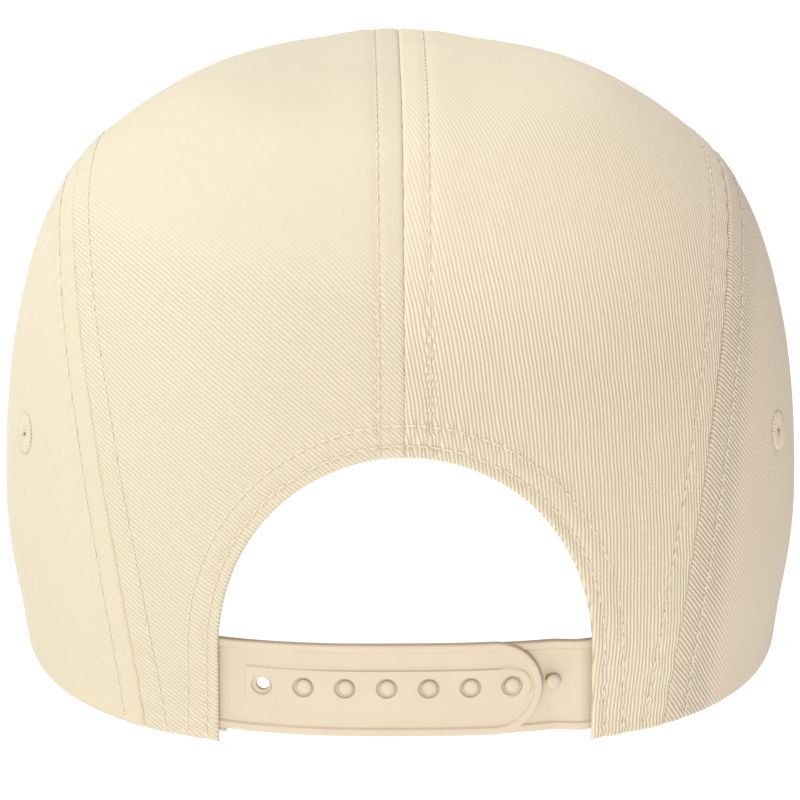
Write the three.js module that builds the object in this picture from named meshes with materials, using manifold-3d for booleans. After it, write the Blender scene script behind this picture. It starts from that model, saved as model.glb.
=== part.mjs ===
// A five panel cap seen as it rests on its rim: a front panel, two side panels and two back panels, a curved
// peak, a sweatband and a snap strap across the arch at the back. Millimetres, +Z up, the peak points to +Y.

import * as THREE from 'three';
import Module from 'manifold-3d';
import { mergeVertices } from 'three/addons/utils/BufferGeometryUtils.js';

const wasm = await Module();
wasm.setup();

// Driving dimensions of the crown, over the cloth.
const crownWidth = 175.2;
const crownHeight = 124.2;
const backReach = 85;
const frontReach = 98;
const topSquareness = 2;
const rimSquareness = 2.65;
const clothWall = 1.4;
const pieceGap = 0.3;

// The seam allowances under the centre seam lift it into a low, flat ridge.
const ridgeHeight = 1.8;
const ridgeHalfWidth = 9;

// The arch at the back and the leg of cloth on each side of it.
const archHalfWidth = 39.5;
const archHeight = 62.5;
const archLegHeight = 20;
const archRoundness = 1.9;

// The peak, a stiff board that bends down to the surface at its two sides.
const peakLength = 70;
const peakThickness = 3;
const peakRise = 17;
const peakDroop = 6;
const peakEndThickness = 1.5;
const peakEndAngle = 24;
const peakEndEase = 9;
const peakSquareness = 2.5;

// The sweatband, and how far its ends step inwards to make room for the straps.
const bandHeight = 32;
const bandThickness = 1.2;
const bandLift = 0.6;
const bandFootGap = 0.5;
const bandEase = 14;

// The two plastic straps.
const strapHeight = 21.5;
const strapLift = 1.8;
const strapPlate = 1.3;
const strapBorder = 1.75;
const strapBorderRise = 0.5;
const strapTuck = 11;
const plateauHeight = 8;
const plateauRise = 0.3;
const plateauStart = -34;
const plateauTip = 26.8;
const holeCount = 7;
const holePitch = 8.74;
const firstHole = -30;
const holeRadius = 2.05;
const holeStrapTip = 29.2;
const pinStemRadius = 1.35;
const pinHeadRadius = 1.7;
const pinHeadHeight = 0.7;
const pinProud = 0.3;
const pinStrapEnd = -25.5;
const pinStrapStepStart = 31.5;
const pinStrapStepEnd = 38.5;

// The sewn vent holes.
const ventRadius = 1.4;
const eyeletRadius = 4.2;
const eyeletThickness = 1.3;

// Mesh density.
const legRows = 2;
const archRows = 9;
const topRows = 12;
const seamRows = archRows + topRows;
const backColumns = 8;
const sideColumns = 14;
const frontColumns = 2 * backColumns;
const peakColumns = 28;
const peakRows = 4;
const bandSteps = 48;
const bandRows = 2;
const strapSpan = 6;
const strapRows = 2;
const strapEndSteps = 5;
const roundSides = 10;
const eyeletSides = 16;
const eyeletSectionSides = 6;

// The crown from its top to its rim, in equal steps, as shares of the driving sizes.
const crownSections = [
  { width: 0, back: 0, front: 0, height: 1 },
  { width: 0.258, back: 0.237, front: 0.217, height: 0.997 },
  { width: 0.55, back: 0.47, front: 0.435, height: 0.955 },
  { width: 0.835, back: 0.69, front: 0.635, height: 0.793 },
  { width: 0.966, back: 0.874, front: 0.815, height: 0.541 },
  { width: 1, back: 0.991, front: 0.945, height: 0.231 },
  { width: 0.948, back: 1, front: 1, height: 0 },
];

// A point of the cloth is named by a chart: a disc whose middle is the crown's top and whose edge is the rim.
// The right side seam from the rim at the back to the front panel's top corner.
const sideSeamPoints = [
  { across: 0.612, along: -0.791 },
  { across: 0.55, along: -0.65 },
  { across: 0.527, along: -0.5 },
  { across: 0.512, along: -0.37 },
  { across: 0.491, along: -0.22 },
  { across: 0.479, along: -0.03 },
  { across: 0.462, along: 0.17 },
  { across: 0.42, along: 0.34 },
  { across: 0.361, along: 0.459 },
];

// The right edge of the front panel, from its top corner down. Its foot is an angle on the rim, in degrees.
const frontSeamPoints = [
  { across: 0.361, along: 0.459 },
  { across: 0.535, along: 0.545 },
];
const frontSeamFoot = 38.5;

// The front panel's top edge, from the centre seam to its right corner.
const topSeamPoints = [
  { across: 0, along: 0.565 },
  { across: 0.19, along: 0.537 },
  { across: 0.361, along: 0.459 },
];

// Vent holes on the right side panel.
const vents = [
  { name: 'eyelet_back', across: 0.681, along: -0.281 },
  { name: 'eyelet_front', across: 0.7, along: 0.2 },
];

const cloth = { color: 0xf1e5cb, roughness: 0.92, metalness: 0 };
const liningCloth = { color: 0xcfc8b8, roughness: 0.95, metalness: 0 };
const plastic = { color: 0xeadac0, roughness: 0.42, metalness: 0 };
const thread = { color: 0xe9dcc0, roughness: 0.8, metalness: 0 };

// A Catmull-Rom curve through one column of the section table.
function sectionValue(column, reach) {
  const last = crownSections.length - 1;
  const place = Math.min(Math.max(reach, 0), 1) * last;
  const step = Math.min(Math.floor(place), last - 1);
  const value = (row) => {
    if (row < 0) return (column === 'height' ? 1 : -1) * crownSections[1][column];
    if (row > last) return 2 * crownSections[last][column] - crownSections[last - 1][column];
    return crownSections[row][column];
  };
  const [a, b, c, d] = [value(step - 1), value(step), value(step + 1), value(step + 2)];
  const t = place - step;
  return b + 0.5 * t * (c - a + t * (2 * a - 5 * b + 4 * c - d + t * (3 * (b - c) + d - a)));
}

function squareness(reach) {
  return topSquareness + (rimSquareness - topSquareness) * reach ** 4;
}

// The outer face of the cloth at a chart point.
function crownPoint(chart) {
  const reach = chart.length();
  const angle = chart.angle();
  const power = squareness(reach);
  const [cos, sin] = [Math.cos(angle), Math.sin(angle)];
  const spread = (Math.abs(cos) ** power + Math.abs(sin) ** power) ** (-1 / power);
  const forwardReach = frontReach * sectionValue('front', reach);
  const backwardReach = backReach * sectionValue('back', reach);
  const x = (crownWidth / 2) * sectionValue('width', reach) * spread * cos;
  const y = (sin > 0 ? forwardReach : backwardReach) * spread * sin;
  const z = crownHeight * sectionValue('height', reach);
  const ridge = ridgeHeight * Math.exp(-((x / ridgeHalfWidth) ** 4)) * Math.min((z / crownHeight) ** 2, 1);
  return new THREE.Vector3(x, y, z + ridge);
}

// The cloth's outward direction. It is levelled near the rim, so that a wall ends flat on the surface below.
function crownNormal(chart) {
  const nudge = 0.002;
  const reach = Math.max(chart.length(), nudge);
  const middle = chart.clone().setLength(Math.min(reach, 1 - nudge));
  const side = (dx, dy) => crownPoint(new THREE.Vector2(middle.x + dx, middle.y + dy));
  const across = side(nudge, 0).sub(side(-nudge, 0));
  const along = side(0, nudge).sub(side(0, -nudge));
  const normal = across.cross(along).normalize();
  normal.z *= 1 - THREE.MathUtils.smoothstep(reach, 0.9, 1);
  return normal.normalize();
}

// A point a given depth inside the cloth's outer face.
function underCrown(chart, depth) {
  return crownPoint(chart).addScaledVector(crownNormal(chart), -depth);
}

// The chart reach where the crown stands at a given height.
function reachAtHeight(height) {
  let [top, rim] = [0, 1];
  for (let step = 0; step < 40; step += 1) {
    const middle = (top + rim) / 2;
    if (crownHeight * sectionValue('height', middle) > height) top = middle;
    else rim = middle;
  }
  return (top + rim) / 2;
}

function chartAt(angle, reach) {
  return new THREE.Vector2(Math.cos(angle), Math.sin(angle)).multiplyScalar(reach);
}

// The chart point at the back of the crown for a distance from the middle and a height.
function backChart(x, height) {
  const reach = height > 0 ? reachAtHeight(height) : 1;
  const power = squareness(reach);
  const across = x / ((crownWidth / 2) * sectionValue('width', reach));
  const along = (1 - Math.abs(across) ** power) ** (1 / power);
  return chartAt(Math.atan2(-along, across), reach);
}

// The peak's ends, where it comes out from under the side panels.
const peakEnd = THREE.MathUtils.degToRad(peakEndAngle);
const peakEndEaseAngle = THREE.MathUtils.degToRad(peakEndEase);
const peakHalfWidth = crownPoint(chartAt(peakEnd, 1)).x;

// The height of the peak's top, for a share of its half width and a share of the way out to its edge.
function peakTop(widthShare, outShare) {
  return peakEndThickness + (peakRise - peakDroop * outShare) * (1 - Math.min(widthShare ** 2, 1));
}

// The share of the peak's half width at a chart angle of the rim.
function peakShare(angle) {
  return crownPoint(chartAt(angle, 1)).x / peakHalfWidth;
}

// How far the crown's lower edge stands off the surface at a chart angle: the peak raises it at the front.
function rimHeight(angle) {
  const pastPeak = Math.abs(angle - Math.PI / 2) - (Math.PI / 2 - peakEnd);
  if (pastPeak < 0) return peakTop(peakShare(angle), 0) + pieceGap;
  return (peakEndThickness + pieceGap) * (1 - THREE.MathUtils.smoothstep(pastPeak, 0, peakEndEaseAngle));
}

// The chart point of the crown's lower edge at an angle.
function rimChart(angle) {
  const height = rimHeight(angle);
  return chartAt(angle, height > 0 ? reachAtHeight(height) : 1);
}

// A chart point's angle, counted from the middle of the back round the right side and the front.
function chartAngle(chart) {
  const angle = Math.atan2(chart.y, chart.x);
  return angle < -Math.PI / 2 ? angle + 2 * Math.PI : angle;
}

// Closed body between an outer and an inner face, each a grid of columns by rows that place() fills.
function slab(columns, rows, place) {
  const positions = [];
  for (const side of [0, 1]) {
    for (let row = 0; row <= rows; row += 1) {
      for (let column = 0; column <= columns; column += 1) {
        positions.push(...place(column / columns, row / rows, side).toArray());
      }
    }
  }
  const indices = [];
  const width = columns + 1;
  const inner = width * (rows + 1);
  const quad = (a, b, c, d) => indices.push(a, b, c, a, c, d);
  for (let row = 0; row < rows; row += 1) {
    for (let column = 0; column < columns; column += 1) {
      const corner = row * width + column;
      quad(corner, corner + 1, corner + width + 1, corner + width);
      quad(inner + corner + 1, inner + corner, inner + corner + width, inner + corner + width + 1);
    }
  }
  for (let column = 0; column < columns; column += 1) {
    const top = rows * width + column;
    quad(column, inner + column, inner + column + 1, column + 1);
    quad(top, top + 1, inner + top + 1, inner + top);
  }
  for (let row = 0; row < rows; row += 1) {
    const left = row * width;
    const right = left + columns;
    quad(left, left + width, inner + left + width, inner + left);
    quad(right, inner + right, inner + right + width, right + width);
  }
  return closedGeometry(positions, indices);
}

// Merges shared corners, drops the faces that this closes up and turns the body's faces outwards.
function closedGeometry(positions, indices) {
  const loose = new THREE.BufferGeometry();
  loose.setAttribute('position', new THREE.Float32BufferAttribute(positions, 3));
  loose.setIndex(indices);
  const geometry = mergeVertices(loose, 0.001);
  const corners = geometry.getIndex().array;
  const point = (index) => new THREE.Vector3().fromBufferAttribute(geometry.getAttribute('position'), index);
  const faces = [];
  let volume = 0;
  for (let face = 0; face < corners.length; face += 3) {
    const [a, b, c] = corners.slice(face, face + 3);
    if (a !== b && b !== c && c !== a) {
      faces.push([a, b, c]);
      volume += point(a).dot(point(b).cross(point(c)));
    }
  }
  geometry.setIndex(faces.flatMap(([a, b, c]) => (volume > 0 ? [a, b, c] : [a, c, b])));
  return geometry;
}

// A closed geometry as a solid for joining and cutting.
function toSolid(geometry) {
  const bare = geometry.clone();
  bare.deleteAttribute('normal');
  bare.deleteAttribute('uv');
  const merged = mergeVertices(bare);
  return new wasm.Manifold(new wasm.Mesh({
    numProp: 3,
    vertProperties: new Float32Array(merged.getAttribute('position').array),
    triVerts: new Uint32Array(merged.getIndex().array),
  }));
}

function toGeometry(solid) {
  const { vertProperties, triVerts } = solid.getMesh();
  const geometry = new THREE.BufferGeometry();
  geometry.setAttribute('position', new THREE.BufferAttribute(vertProperties, 3));
  geometry.setIndex(new THREE.BufferAttribute(triVerts, 1));
  return geometry;
}

function named(name, geometry, material) {
  geometry.computeVertexNormals();
  const mesh = new THREE.Mesh(geometry, new THREE.MeshStandardMaterial(material));
  mesh.name = name;
  return mesh;
}

// A round bar square to the cloth at a chart point, between two depths under the cloth's face.
function barThrough(chart, radius, fromDepth, toDepth) {
  const length = fromDepth - toDepth;
  const bar = new THREE.CylinderGeometry(radius, radius, length, roundSides);
  const turn = new THREE.Quaternion().setFromUnitVectors(new THREE.Vector3(0, 1, 0), crownNormal(chart));
  bar.applyQuaternion(turn);
  const middle = underCrown(chart, (fromDepth + toDepth) / 2);
  return toSolid(bar.translate(middle.x, middle.y, middle.z));
}

// Seams as chart curves, each from the rim upwards. side is 1 on the right and -1 on the left.
function rowsToChart(rows, side) {
  return rows.map(({ across, along }) => new THREE.Vector2(side * across, along));
}

function sideSeam(side) {
  return new THREE.SplineCurve(rowsToChart(sideSeamPoints, side));
}

function frontSeam(side) {
  const foot = rimChart(Math.PI / 2 - side * (Math.PI / 2 - THREE.MathUtils.degToRad(frontSeamFoot)));
  return new THREE.SplineCurve([...rowsToChart(frontSeamPoints, side), foot].reverse());
}

function topSeam(side) {
  return new THREE.SplineCurve(rowsToChart(topSeamPoints, side));
}

// The arch's edge, from its foot at 0 up its leg and round to the middle at 1.
function archEdge(share, side) {
  const legShare = legRows / archRows;
  if (share <= legShare) return backChart(side * archHalfWidth, (share / legShare) * archLegHeight);
  const turn = ((share - legShare) / (1 - legShare)) * (Math.PI / 2);
  const across = Math.max(Math.cos(turn), 0) ** (2 / archRoundness);
  const up = Math.sin(turn) ** (2 / archRoundness);
  return backChart(side * archHalfWidth * across, archLegHeight + (archHeight - archLegHeight) * up);
}

// A point of the patch that four chart edges enclose, for shares u and v of the way across and up.
function patch({ bottom, top, left, right }, u, v) {
  const mix = (a, b, share) => a.clone().lerp(b, share);
  const corners = mix(mix(bottom(0), bottom(1), u), mix(top(0), top(1), u), v);
  return mix(left(v), right(v), u).add(mix(bottom(u), top(u), v)).sub(corners);
}

// A share of the way between two edges, kept half a gap away from each edge that is sewn to a neighbour.
function betweenSeams(share, start, end, sewnStart, sewnEnd) {
  const width = crownPoint(start).distanceTo(crownPoint(end));
  const margin = pieceGap / 2 / Math.max(width, pieceGap);
  return THREE.MathUtils.lerp(sewnStart ? margin : 0, sewnEnd ? 1 - margin : 1, share);
}

// One cloth panel as a wall under the crown's outer face. sewn names its edges that meet another panel.
function clothPanel(name, columns, edges, sewn) {
  const place = (u, v, side) => {
    const across = betweenSeams(u, edges.left(v), edges.right(v), sewn.left, sewn.right);
    const up = betweenSeams(v, edges.bottom(u), edges.top(u), false, sewn.top);
    return underCrown(patch(edges, across, up), side * clothWall);
  };
  return named(name, slab(columns, seamRows, place), cloth);
}

// The rim between two seams' feet.
function rimEdge(from, to) {
  const [start, end] = [chartAngle(from), chartAngle(to)];
  return (share) => rimChart(THREE.MathUtils.lerp(start, end, share));
}

// A long panel from the arch over the top to the front panel, beside the centre seam.
function backPanel(name, side) {
  const outer = sideSeam(side);
  const front = topSeam(side);
  const archShare = archRows / seamRows;
  const centreLine = (v) => archEdge(1, side).lerp(front.getPointAt(0), (v - archShare) / (1 - archShare));
  const inner = (v) => (v < archShare ? archEdge(v / archShare, side) : centreLine(v));
  const edges = {
    left: inner,
    right: (v) => outer.getPointAt(v),
    bottom: rimEdge(inner(0), outer.getPointAt(0)),
    top: (u) => front.getPointAt(u),
  };
  return clothPanel(name, backColumns, edges, { left: true, right: true, top: true });
}

// A panel over the ear, closed to a point where the side, front and top seams meet.
function sidePanel(name, side) {
  const back = sideSeam(side);
  const front = frontSeam(side);
  const edges = {
    left: (v) => back.getPointAt(v),
    right: (v) => front.getPointAt(v),
    bottom: rimEdge(back.getPointAt(0), front.getPointAt(0)),
    top: () => back.getPointAt(1),
  };
  const panel = clothPanel(name, sideColumns, edges, { left: true, right: true, top: true });
  let solid = toSolid(panel.geometry);
  for (const vent of vents) {
    const centre = new THREE.Vector2(side * vent.across, vent.along);
    solid = solid.subtract(barThrough(centre, ventRadius, 2 * clothWall, -clothWall));
  }
  return named(name, toGeometry(solid), cloth);
}

function frontPanel() {
  const [leftSeam, rightSeam] = [frontSeam(-1), frontSeam(1)];
  const [leftTop, rightTop] = [topSeam(-1), topSeam(1)];
  const edges = {
    left: (v) => leftSeam.getPointAt(v),
    right: (v) => rightSeam.getPointAt(v),
    bottom: rimEdge(leftSeam.getPointAt(0), rightSeam.getPointAt(0)),
    top: (u) => (u < 0.5 ? leftTop.getPointAt(1 - 2 * u) : rightTop.getPointAt(2 * u - 1)),
  };
  return clothPanel('front_panel', frontColumns, edges, { left: true, right: true, top: true });
}

// The peak: its inner edge lies under the front panel's lower edge, and its ends come down to the surface.
function peak() {
  const endY = crownPoint(chartAt(peakEnd, 1)).y;
  const place = (u, v, side) => {
    const angle = THREE.MathUtils.lerp(Math.PI - peakEnd, peakEnd, u);
    const rim = rimChart(angle);
    const inward = crownNormal(rim).setZ(0).setLength(clothWall);
    const inner = crownPoint(rim).sub(inward);
    const turn = Math.PI * (1 - u);
    const [cos, sin] = [Math.cos(turn), Math.sin(turn)];
    const spread = (Math.abs(cos) ** peakSquareness + sin ** peakSquareness) ** (-1 / peakSquareness);
    const outer = new THREE.Vector3(
      peakHalfWidth * spread * cos,
      endY + (frontReach + peakLength - endY) * spread * sin,
      0,
    );
    const widthShare = THREE.MathUtils.lerp(Math.abs(peakShare(angle)), Math.abs(spread * cos), v);
    const height = peakTop(widthShare, v);
    return inner.lerp(outer, v).setZ(side === 0 ? height : Math.max(height - peakThickness, 0));
  };
  return named('peak', slab(peakColumns, peakRows, place), cloth);
}

// Depths under the cloth's face, from the wall inwards: the strap with holes, and the pins' strap beneath it.
const strapDepth = clothWall + pieceGap;
const strapThickness = strapBorderRise + strapPlate;
const pinStrapDepth = strapDepth + strapThickness + pieceGap;
const strapTuckEnd = archHalfWidth + strapTuck;

// The sweatband round the inside of the rim, from one foot of the arch to the other.
function sweatband() {
  const foot = chartAngle(backChart(archHalfWidth + bandFootGap, 0));
  const place = (u, v, side) => {
    const angle = THREE.MathUtils.lerp(foot, Math.PI - foot, u);
    const chart = chartAt(angle, reachAtHeight(rimHeight(angle) + bandLift + v * bandHeight));
    const { x, y } = crownPoint(chart);
    const eased = y > 0 ? 1 : THREE.MathUtils.smoothstep(Math.abs(x), strapTuckEnd, strapTuckEnd + bandEase);
    const depth = strapDepth + (1 - eased) * (strapThickness + pieceGap);
    return underCrown(chart, depth + side * bandThickness);
  };
  return named('sweatband', slab(bandSteps, bandRows, place), liningCloth);
}

// The stations of a strap's outline, each a distance from the middle of the back and a half height.
function straightStations(from, to, half) {
  const steps = Math.ceil(Math.abs(to - from) / strapSpan);
  return Array.from({ length: steps + 1 }, (_, step) => {
    const x = THREE.MathUtils.lerp(from, to, step / steps);
    return { x, half };
  });
}

function roundStations(from, centre, half) {
  const end = Array.from({ length: strapEndSteps }, (_, step) => {
    const turn = ((step + 1) / strapEndSteps) * (Math.PI / 2);
    return { x: centre + half * Math.sin(turn), half: half * Math.max(Math.cos(turn), 0) };
  });
  return [...straightStations(from, centre, half), ...end];
}

const strapMiddle = strapLift + strapHeight / 2;

// A layer of strap along its stations, between two depths under the cloth's face. step moves it deeper at x.
function strapLayer(stations, outerDepth, innerDepth, step = () => 0) {
  const columns = stations.length - 1;
  const place = (u, v, side) => {
    const { x, half } = stations[Math.round(u * columns)];
    const chart = backChart(x, strapMiddle + (2 * v - 1) * half);
    return underCrown(chart, (side === 0 ? outerDepth : innerDepth) + step(x));
  };
  return toSolid(slab(columns, strapRows, place));
}

function snapChart(index) {
  return backChart(firstHole + index * holePitch, strapMiddle);
}

// The strap from the left: a raised border, a raised middle with holes, and a round end.
function strapWithHoles() {
  const half = strapHeight / 2;
  const centre = holeStrapTip - half;
  const face = strapDepth + strapBorderRise;
  const plateauHalf = plateauHeight / 2;
  const outline = roundStations(-strapTuckEnd, centre, half);
  const field = roundStations(-strapTuckEnd - strapSpan, centre, half - strapBorder);
  const plateau = roundStations(plateauStart, plateauTip - plateauHalf, plateauHalf);
  let solid = strapLayer(outline, strapDepth, strapDepth + strapThickness)
    .subtract(strapLayer(field, strapDepth - strapPlate, face))
    .add(strapLayer(plateau, face - plateauRise, face + strapPlate / 2));
  for (let index = 0; index < holeCount; index += 1) {
    solid = solid.subtract(barThrough(snapChart(index), holeRadius, pinStrapDepth, strapDepth - strapPlate));
  }
  return named('strap_holes', toGeometry(solid), plastic);
}

// The strap from the right, with a pin behind every hole but the first and one pin left free.
function strapWithPins() {
  const half = strapHeight / 2;
  const sink = pinStrapDepth - strapDepth;
  const step = (x) => sink * (1 - THREE.MathUtils.smoothstep(x, pinStrapStepStart, pinStrapStepEnd));
  const face = strapDepth + strapBorderRise;
  const outline = straightStations(strapTuckEnd, pinStrapEnd, half);
  const field = straightStations(strapTuckEnd + strapSpan, pinStrapEnd + strapBorder, half - strapBorder);
  let solid = strapLayer(outline, strapDepth, strapDepth + strapThickness, step)
    .subtract(strapLayer(field, strapDepth - strapBorderRise, face, step));
  const pinTop = face - plateauRise - pinProud;
  for (let index = 1; index <= holeCount; index += 1) {
    const chart = snapChart(index);
    const stem = barThrough(chart, pinStemRadius, face + sink + strapPlate / 2, pinTop);
    const head = barThrough(chart, pinHeadRadius, pinTop + pinHeadHeight, pinTop);
    solid = solid.add(stem).add(head);
  }
  return named('strap_pins', toGeometry(solid), plastic);
}

// A sewn ring on the outside of the side panel, round a vent hole.
function eyelet(vent, side, suffix) {
  const half = (eyeletRadius - ventRadius) / 2;
  const section = new THREE.Path();
  section.absellipse(ventRadius + half, 0, half, eyeletThickness / 2, 0, 2 * Math.PI);
  const geometry = new THREE.LatheGeometry(section.getSpacedPoints(eyeletSectionSides), eyeletSides);
  const ring = named(`${vent.name}_${suffix}`, closedGeometry(
    geometry.getAttribute('position').array,
    Array.from(geometry.getIndex().array),
  ), thread);
  const chart = new THREE.Vector2(side * vent.across, vent.along);
  ring.position.copy(underCrown(chart, -pieceGap - eyeletThickness / 2));
  ring.quaternion.setFromUnitVectors(new THREE.Vector3(0, 1, 0), crownNormal(chart));
  return ring;
}

const cap = new THREE.Group();
cap.add(frontPanel(), peak(), sweatband(), strapWithHoles(), strapWithPins());
for (const [suffix, side] of [['left', -1], ['right', 1]]) {
  cap.add(sidePanel(`side_panel_${suffix}`, side), backPanel(`back_panel_${suffix}`, side));
  vents.forEach((vent) => cap.add(eyelet(vent, side, suffix)));
}

// The origin is on the surface that the cap rests on, under the middle of its box.
cap.position.y = -new THREE.Box3().setFromObject(cap).getCenter(new THREE.Vector3()).y;

export default cap;
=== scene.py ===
"""A cream five panel cap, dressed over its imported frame.

Every length is in metres. The cap rests on z = 0 with its peak towards +Y, and the camera stands behind it.
A place on the crown is named by its chart: a disc whose middle is the crown's top and whose edge is the rim.
"""

from __future__ import annotations

import logging
import math
from dataclasses import dataclass, field
from enum import Enum
from typing import Callable, Sequence

import bmesh
import bpy
import numpy as np
from mathutils import Matrix, Vector

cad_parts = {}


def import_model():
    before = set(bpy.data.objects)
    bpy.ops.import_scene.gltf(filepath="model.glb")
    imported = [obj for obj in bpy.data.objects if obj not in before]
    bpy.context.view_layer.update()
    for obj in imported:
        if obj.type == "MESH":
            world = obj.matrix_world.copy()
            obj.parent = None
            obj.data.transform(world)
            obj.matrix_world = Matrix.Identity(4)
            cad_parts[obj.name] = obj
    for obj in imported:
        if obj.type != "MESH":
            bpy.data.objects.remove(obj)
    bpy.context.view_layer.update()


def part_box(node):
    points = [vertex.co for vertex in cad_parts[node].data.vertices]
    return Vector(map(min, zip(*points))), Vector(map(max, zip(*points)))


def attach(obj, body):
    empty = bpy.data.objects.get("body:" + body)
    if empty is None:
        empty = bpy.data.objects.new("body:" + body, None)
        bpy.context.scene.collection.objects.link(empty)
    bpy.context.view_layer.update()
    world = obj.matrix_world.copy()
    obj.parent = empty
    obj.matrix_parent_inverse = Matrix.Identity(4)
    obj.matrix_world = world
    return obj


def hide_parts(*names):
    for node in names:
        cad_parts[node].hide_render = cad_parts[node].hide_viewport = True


LOG = logging.getLogger("cap")
MM = 0.001
BODY = "root"
WEAVE_MAP = "weave"
PLACE_LAYER = "place"
STIR_LAYER = "stir"

# How many points a curve has for each of its spans, an edge for its relief, and a row for its stitches
CURVE_STEPS = 60
EDGE_SPOTS = 160
ROW_SPOTS = 400

# The upward share of its normal past which a sheet counts as level
LEVEL_SHARE = 0.95

Array = np.ndarray
ChartCurve = Callable[[Array], Array]


# Shader expressions


class Value:
    """A shader socket with arithmetic. An expression on values adds the Math nodes that work it out."""

    def __init__(self, graph: Graph, socket: bpy.types.NodeSocket) -> None:
        """Wraps a socket of a graph."""
        self.graph = graph
        self.socket = socket

    def math(self, operation: str, *others: Value | float) -> Value:
        """Adds a Math node of this value and others.

        Args:
            operation: The Math node's operation.
            others: The node's further operands, in order.

        Returns:
            The node's result.
        """
        operands = {index: operand for index, operand in enumerate((self, *others))}
        return self.graph.node("ShaderNodeMath", {"operation": operation}, operands)

    def __add__(self, other: Value | float) -> Value:
        """Adds two values."""
        return self.math("ADD", other)

    __radd__ = __add__

    def __sub__(self, other: Value | float) -> Value:
        """Takes a value from this one."""
        return self.math("SUBTRACT", other)

    def __rsub__(self, other: float) -> Value:
        """Takes this value from a number."""
        return self.math("MULTIPLY", -1.0).math("ADD", other)

    def __mul__(self, other: Value | float) -> Value:
        """Multiplies two values."""
        return self.math("MULTIPLY", other)

    __rmul__ = __mul__

    def __truediv__(self, other: Value | float) -> Value:
        """Divides this value by another."""
        return self.math("DIVIDE", other)

    def __pow__(self, power: Value | float) -> Value:
        """Raises this value to a power."""
        return self.math("POWER", power)

    def wave(self) -> Value:
        """A smooth wave from 0 to 1 with one crest at each whole number."""
        return (self * math.tau).math("COSINE") * 0.5 + 0.5

    def between(self, low: float, high: float) -> Value:
        """A smooth step from 0 at low to 1 at high."""
        settings = {"interpolation_type": "SMOOTHSTEP"}
        sockets = {"Value": self, "From Min": low, "From Max": high}
        return self.graph.node("ShaderNodeMapRange", settings, sockets)


class Graph:
    """The node tree of one new material, with its Principled shader."""

    def __init__(self, name: str) -> None:
        """Makes the material and empties its tree."""
        self.material = bpy.data.materials.new(name)
        self.material.use_nodes = True
        self.tree = self.material.node_tree
        self.tree.nodes.clear()
        self.shader = self.tree.nodes.new("ShaderNodeBsdfPrincipled")
        output = self.tree.nodes.new("ShaderNodeOutputMaterial")
        self.tree.links.new(self.shader.outputs[0], output.inputs[0])

    def node(self, kind: str, settings: dict, sockets: dict, output: int | str = 0) -> Value:
        """Adds a node.

        Args:
            kind: The node's type.
            settings: Attributes of the node, which are set first.
            sockets: Values or links, by the input's name or number.
            output: The output to return.

        Returns:
            One output of the node.
        """
        made = self.tree.nodes.new(kind)
        for key, setting in settings.items():
            setattr(made, key, setting)
        for key, value in sockets.items():
            self._feed(made.inputs[key], value)
        return Value(self, made.outputs[output])

    def set(self, **sockets: Value | float | Sequence[float]) -> None:
        """Feeds the Principled shader. Names use an underscore for a space."""
        for key, value in sockets.items():
            self._feed(self.shader.inputs[key.replace("_", " ")], value)

    def mix(
        self,
        share: Value | float,
        first: Value | Sequence[float],
        second: Value | Sequence[float],
    ) -> Value:
        """A colour between two colours."""
        return self.node("ShaderNodeMix", {"data_type": "RGBA"}, {0: share, 6: first, 7: second}, 2)

    def weave(self) -> tuple[Value, Value]:
        """The two coordinates of the piece's own cloth map, in metres."""
        place = self.node("ShaderNodeUVMap", {"uv_map": WEAVE_MAP}, {})
        return (
            self.node("ShaderNodeSeparateXYZ", {}, {0: place}, 0),
            self.node("ShaderNodeSeparateXYZ", {}, {0: place}, 1),
        )

    def spot(self) -> Value:
        """The object coordinates, in metres."""
        return self.node("ShaderNodeTexCoord", {}, {}, "Object")

    def attribute(self, name: str) -> Value:
        """A number that the mesh carries."""
        return self.node("ShaderNodeAttribute", {"attribute_name": name}, {}, "Fac")

    def noise(self, place: Value, size: float, detail: float = 2.0) -> Value:
        """Noise from 0 to 1 with features of a given size in metres."""
        return self.node("ShaderNodeTexNoise", {}, {"Vector": place, "Scale": 1.0 / size, "Detail": detail})

    def point(self, x: Value, y: Value) -> Value:
        """A place from two values."""
        return self.node("ShaderNodeCombineXYZ", {}, {0: x, 1: y})

    def bump(self, height: Value, depth: float, strength: float = 1.0) -> Value:
        """A normal from a height of 0 to 1 that stands for a depth in metres."""
        sockets = {"Height": height, "Distance": depth, "Strength": strength}
        return self.node("ShaderNodeBump", {}, sockets)

    def _feed(self, target: bpy.types.NodeSocket, value: Value | float | Sequence[float]) -> None:
        """Links a value to an input, or sets the input's own number or colour."""
        if isinstance(value, Value):
            self.tree.links.new(value.socket, target)
        elif isinstance(value, (int, float)):
            target.default_value = value
        else:
            lacks_alpha = len(value) == 3 and len(target.default_value) == 4
            target.default_value = (*value, 1.0) if lacks_alpha else value


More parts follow.
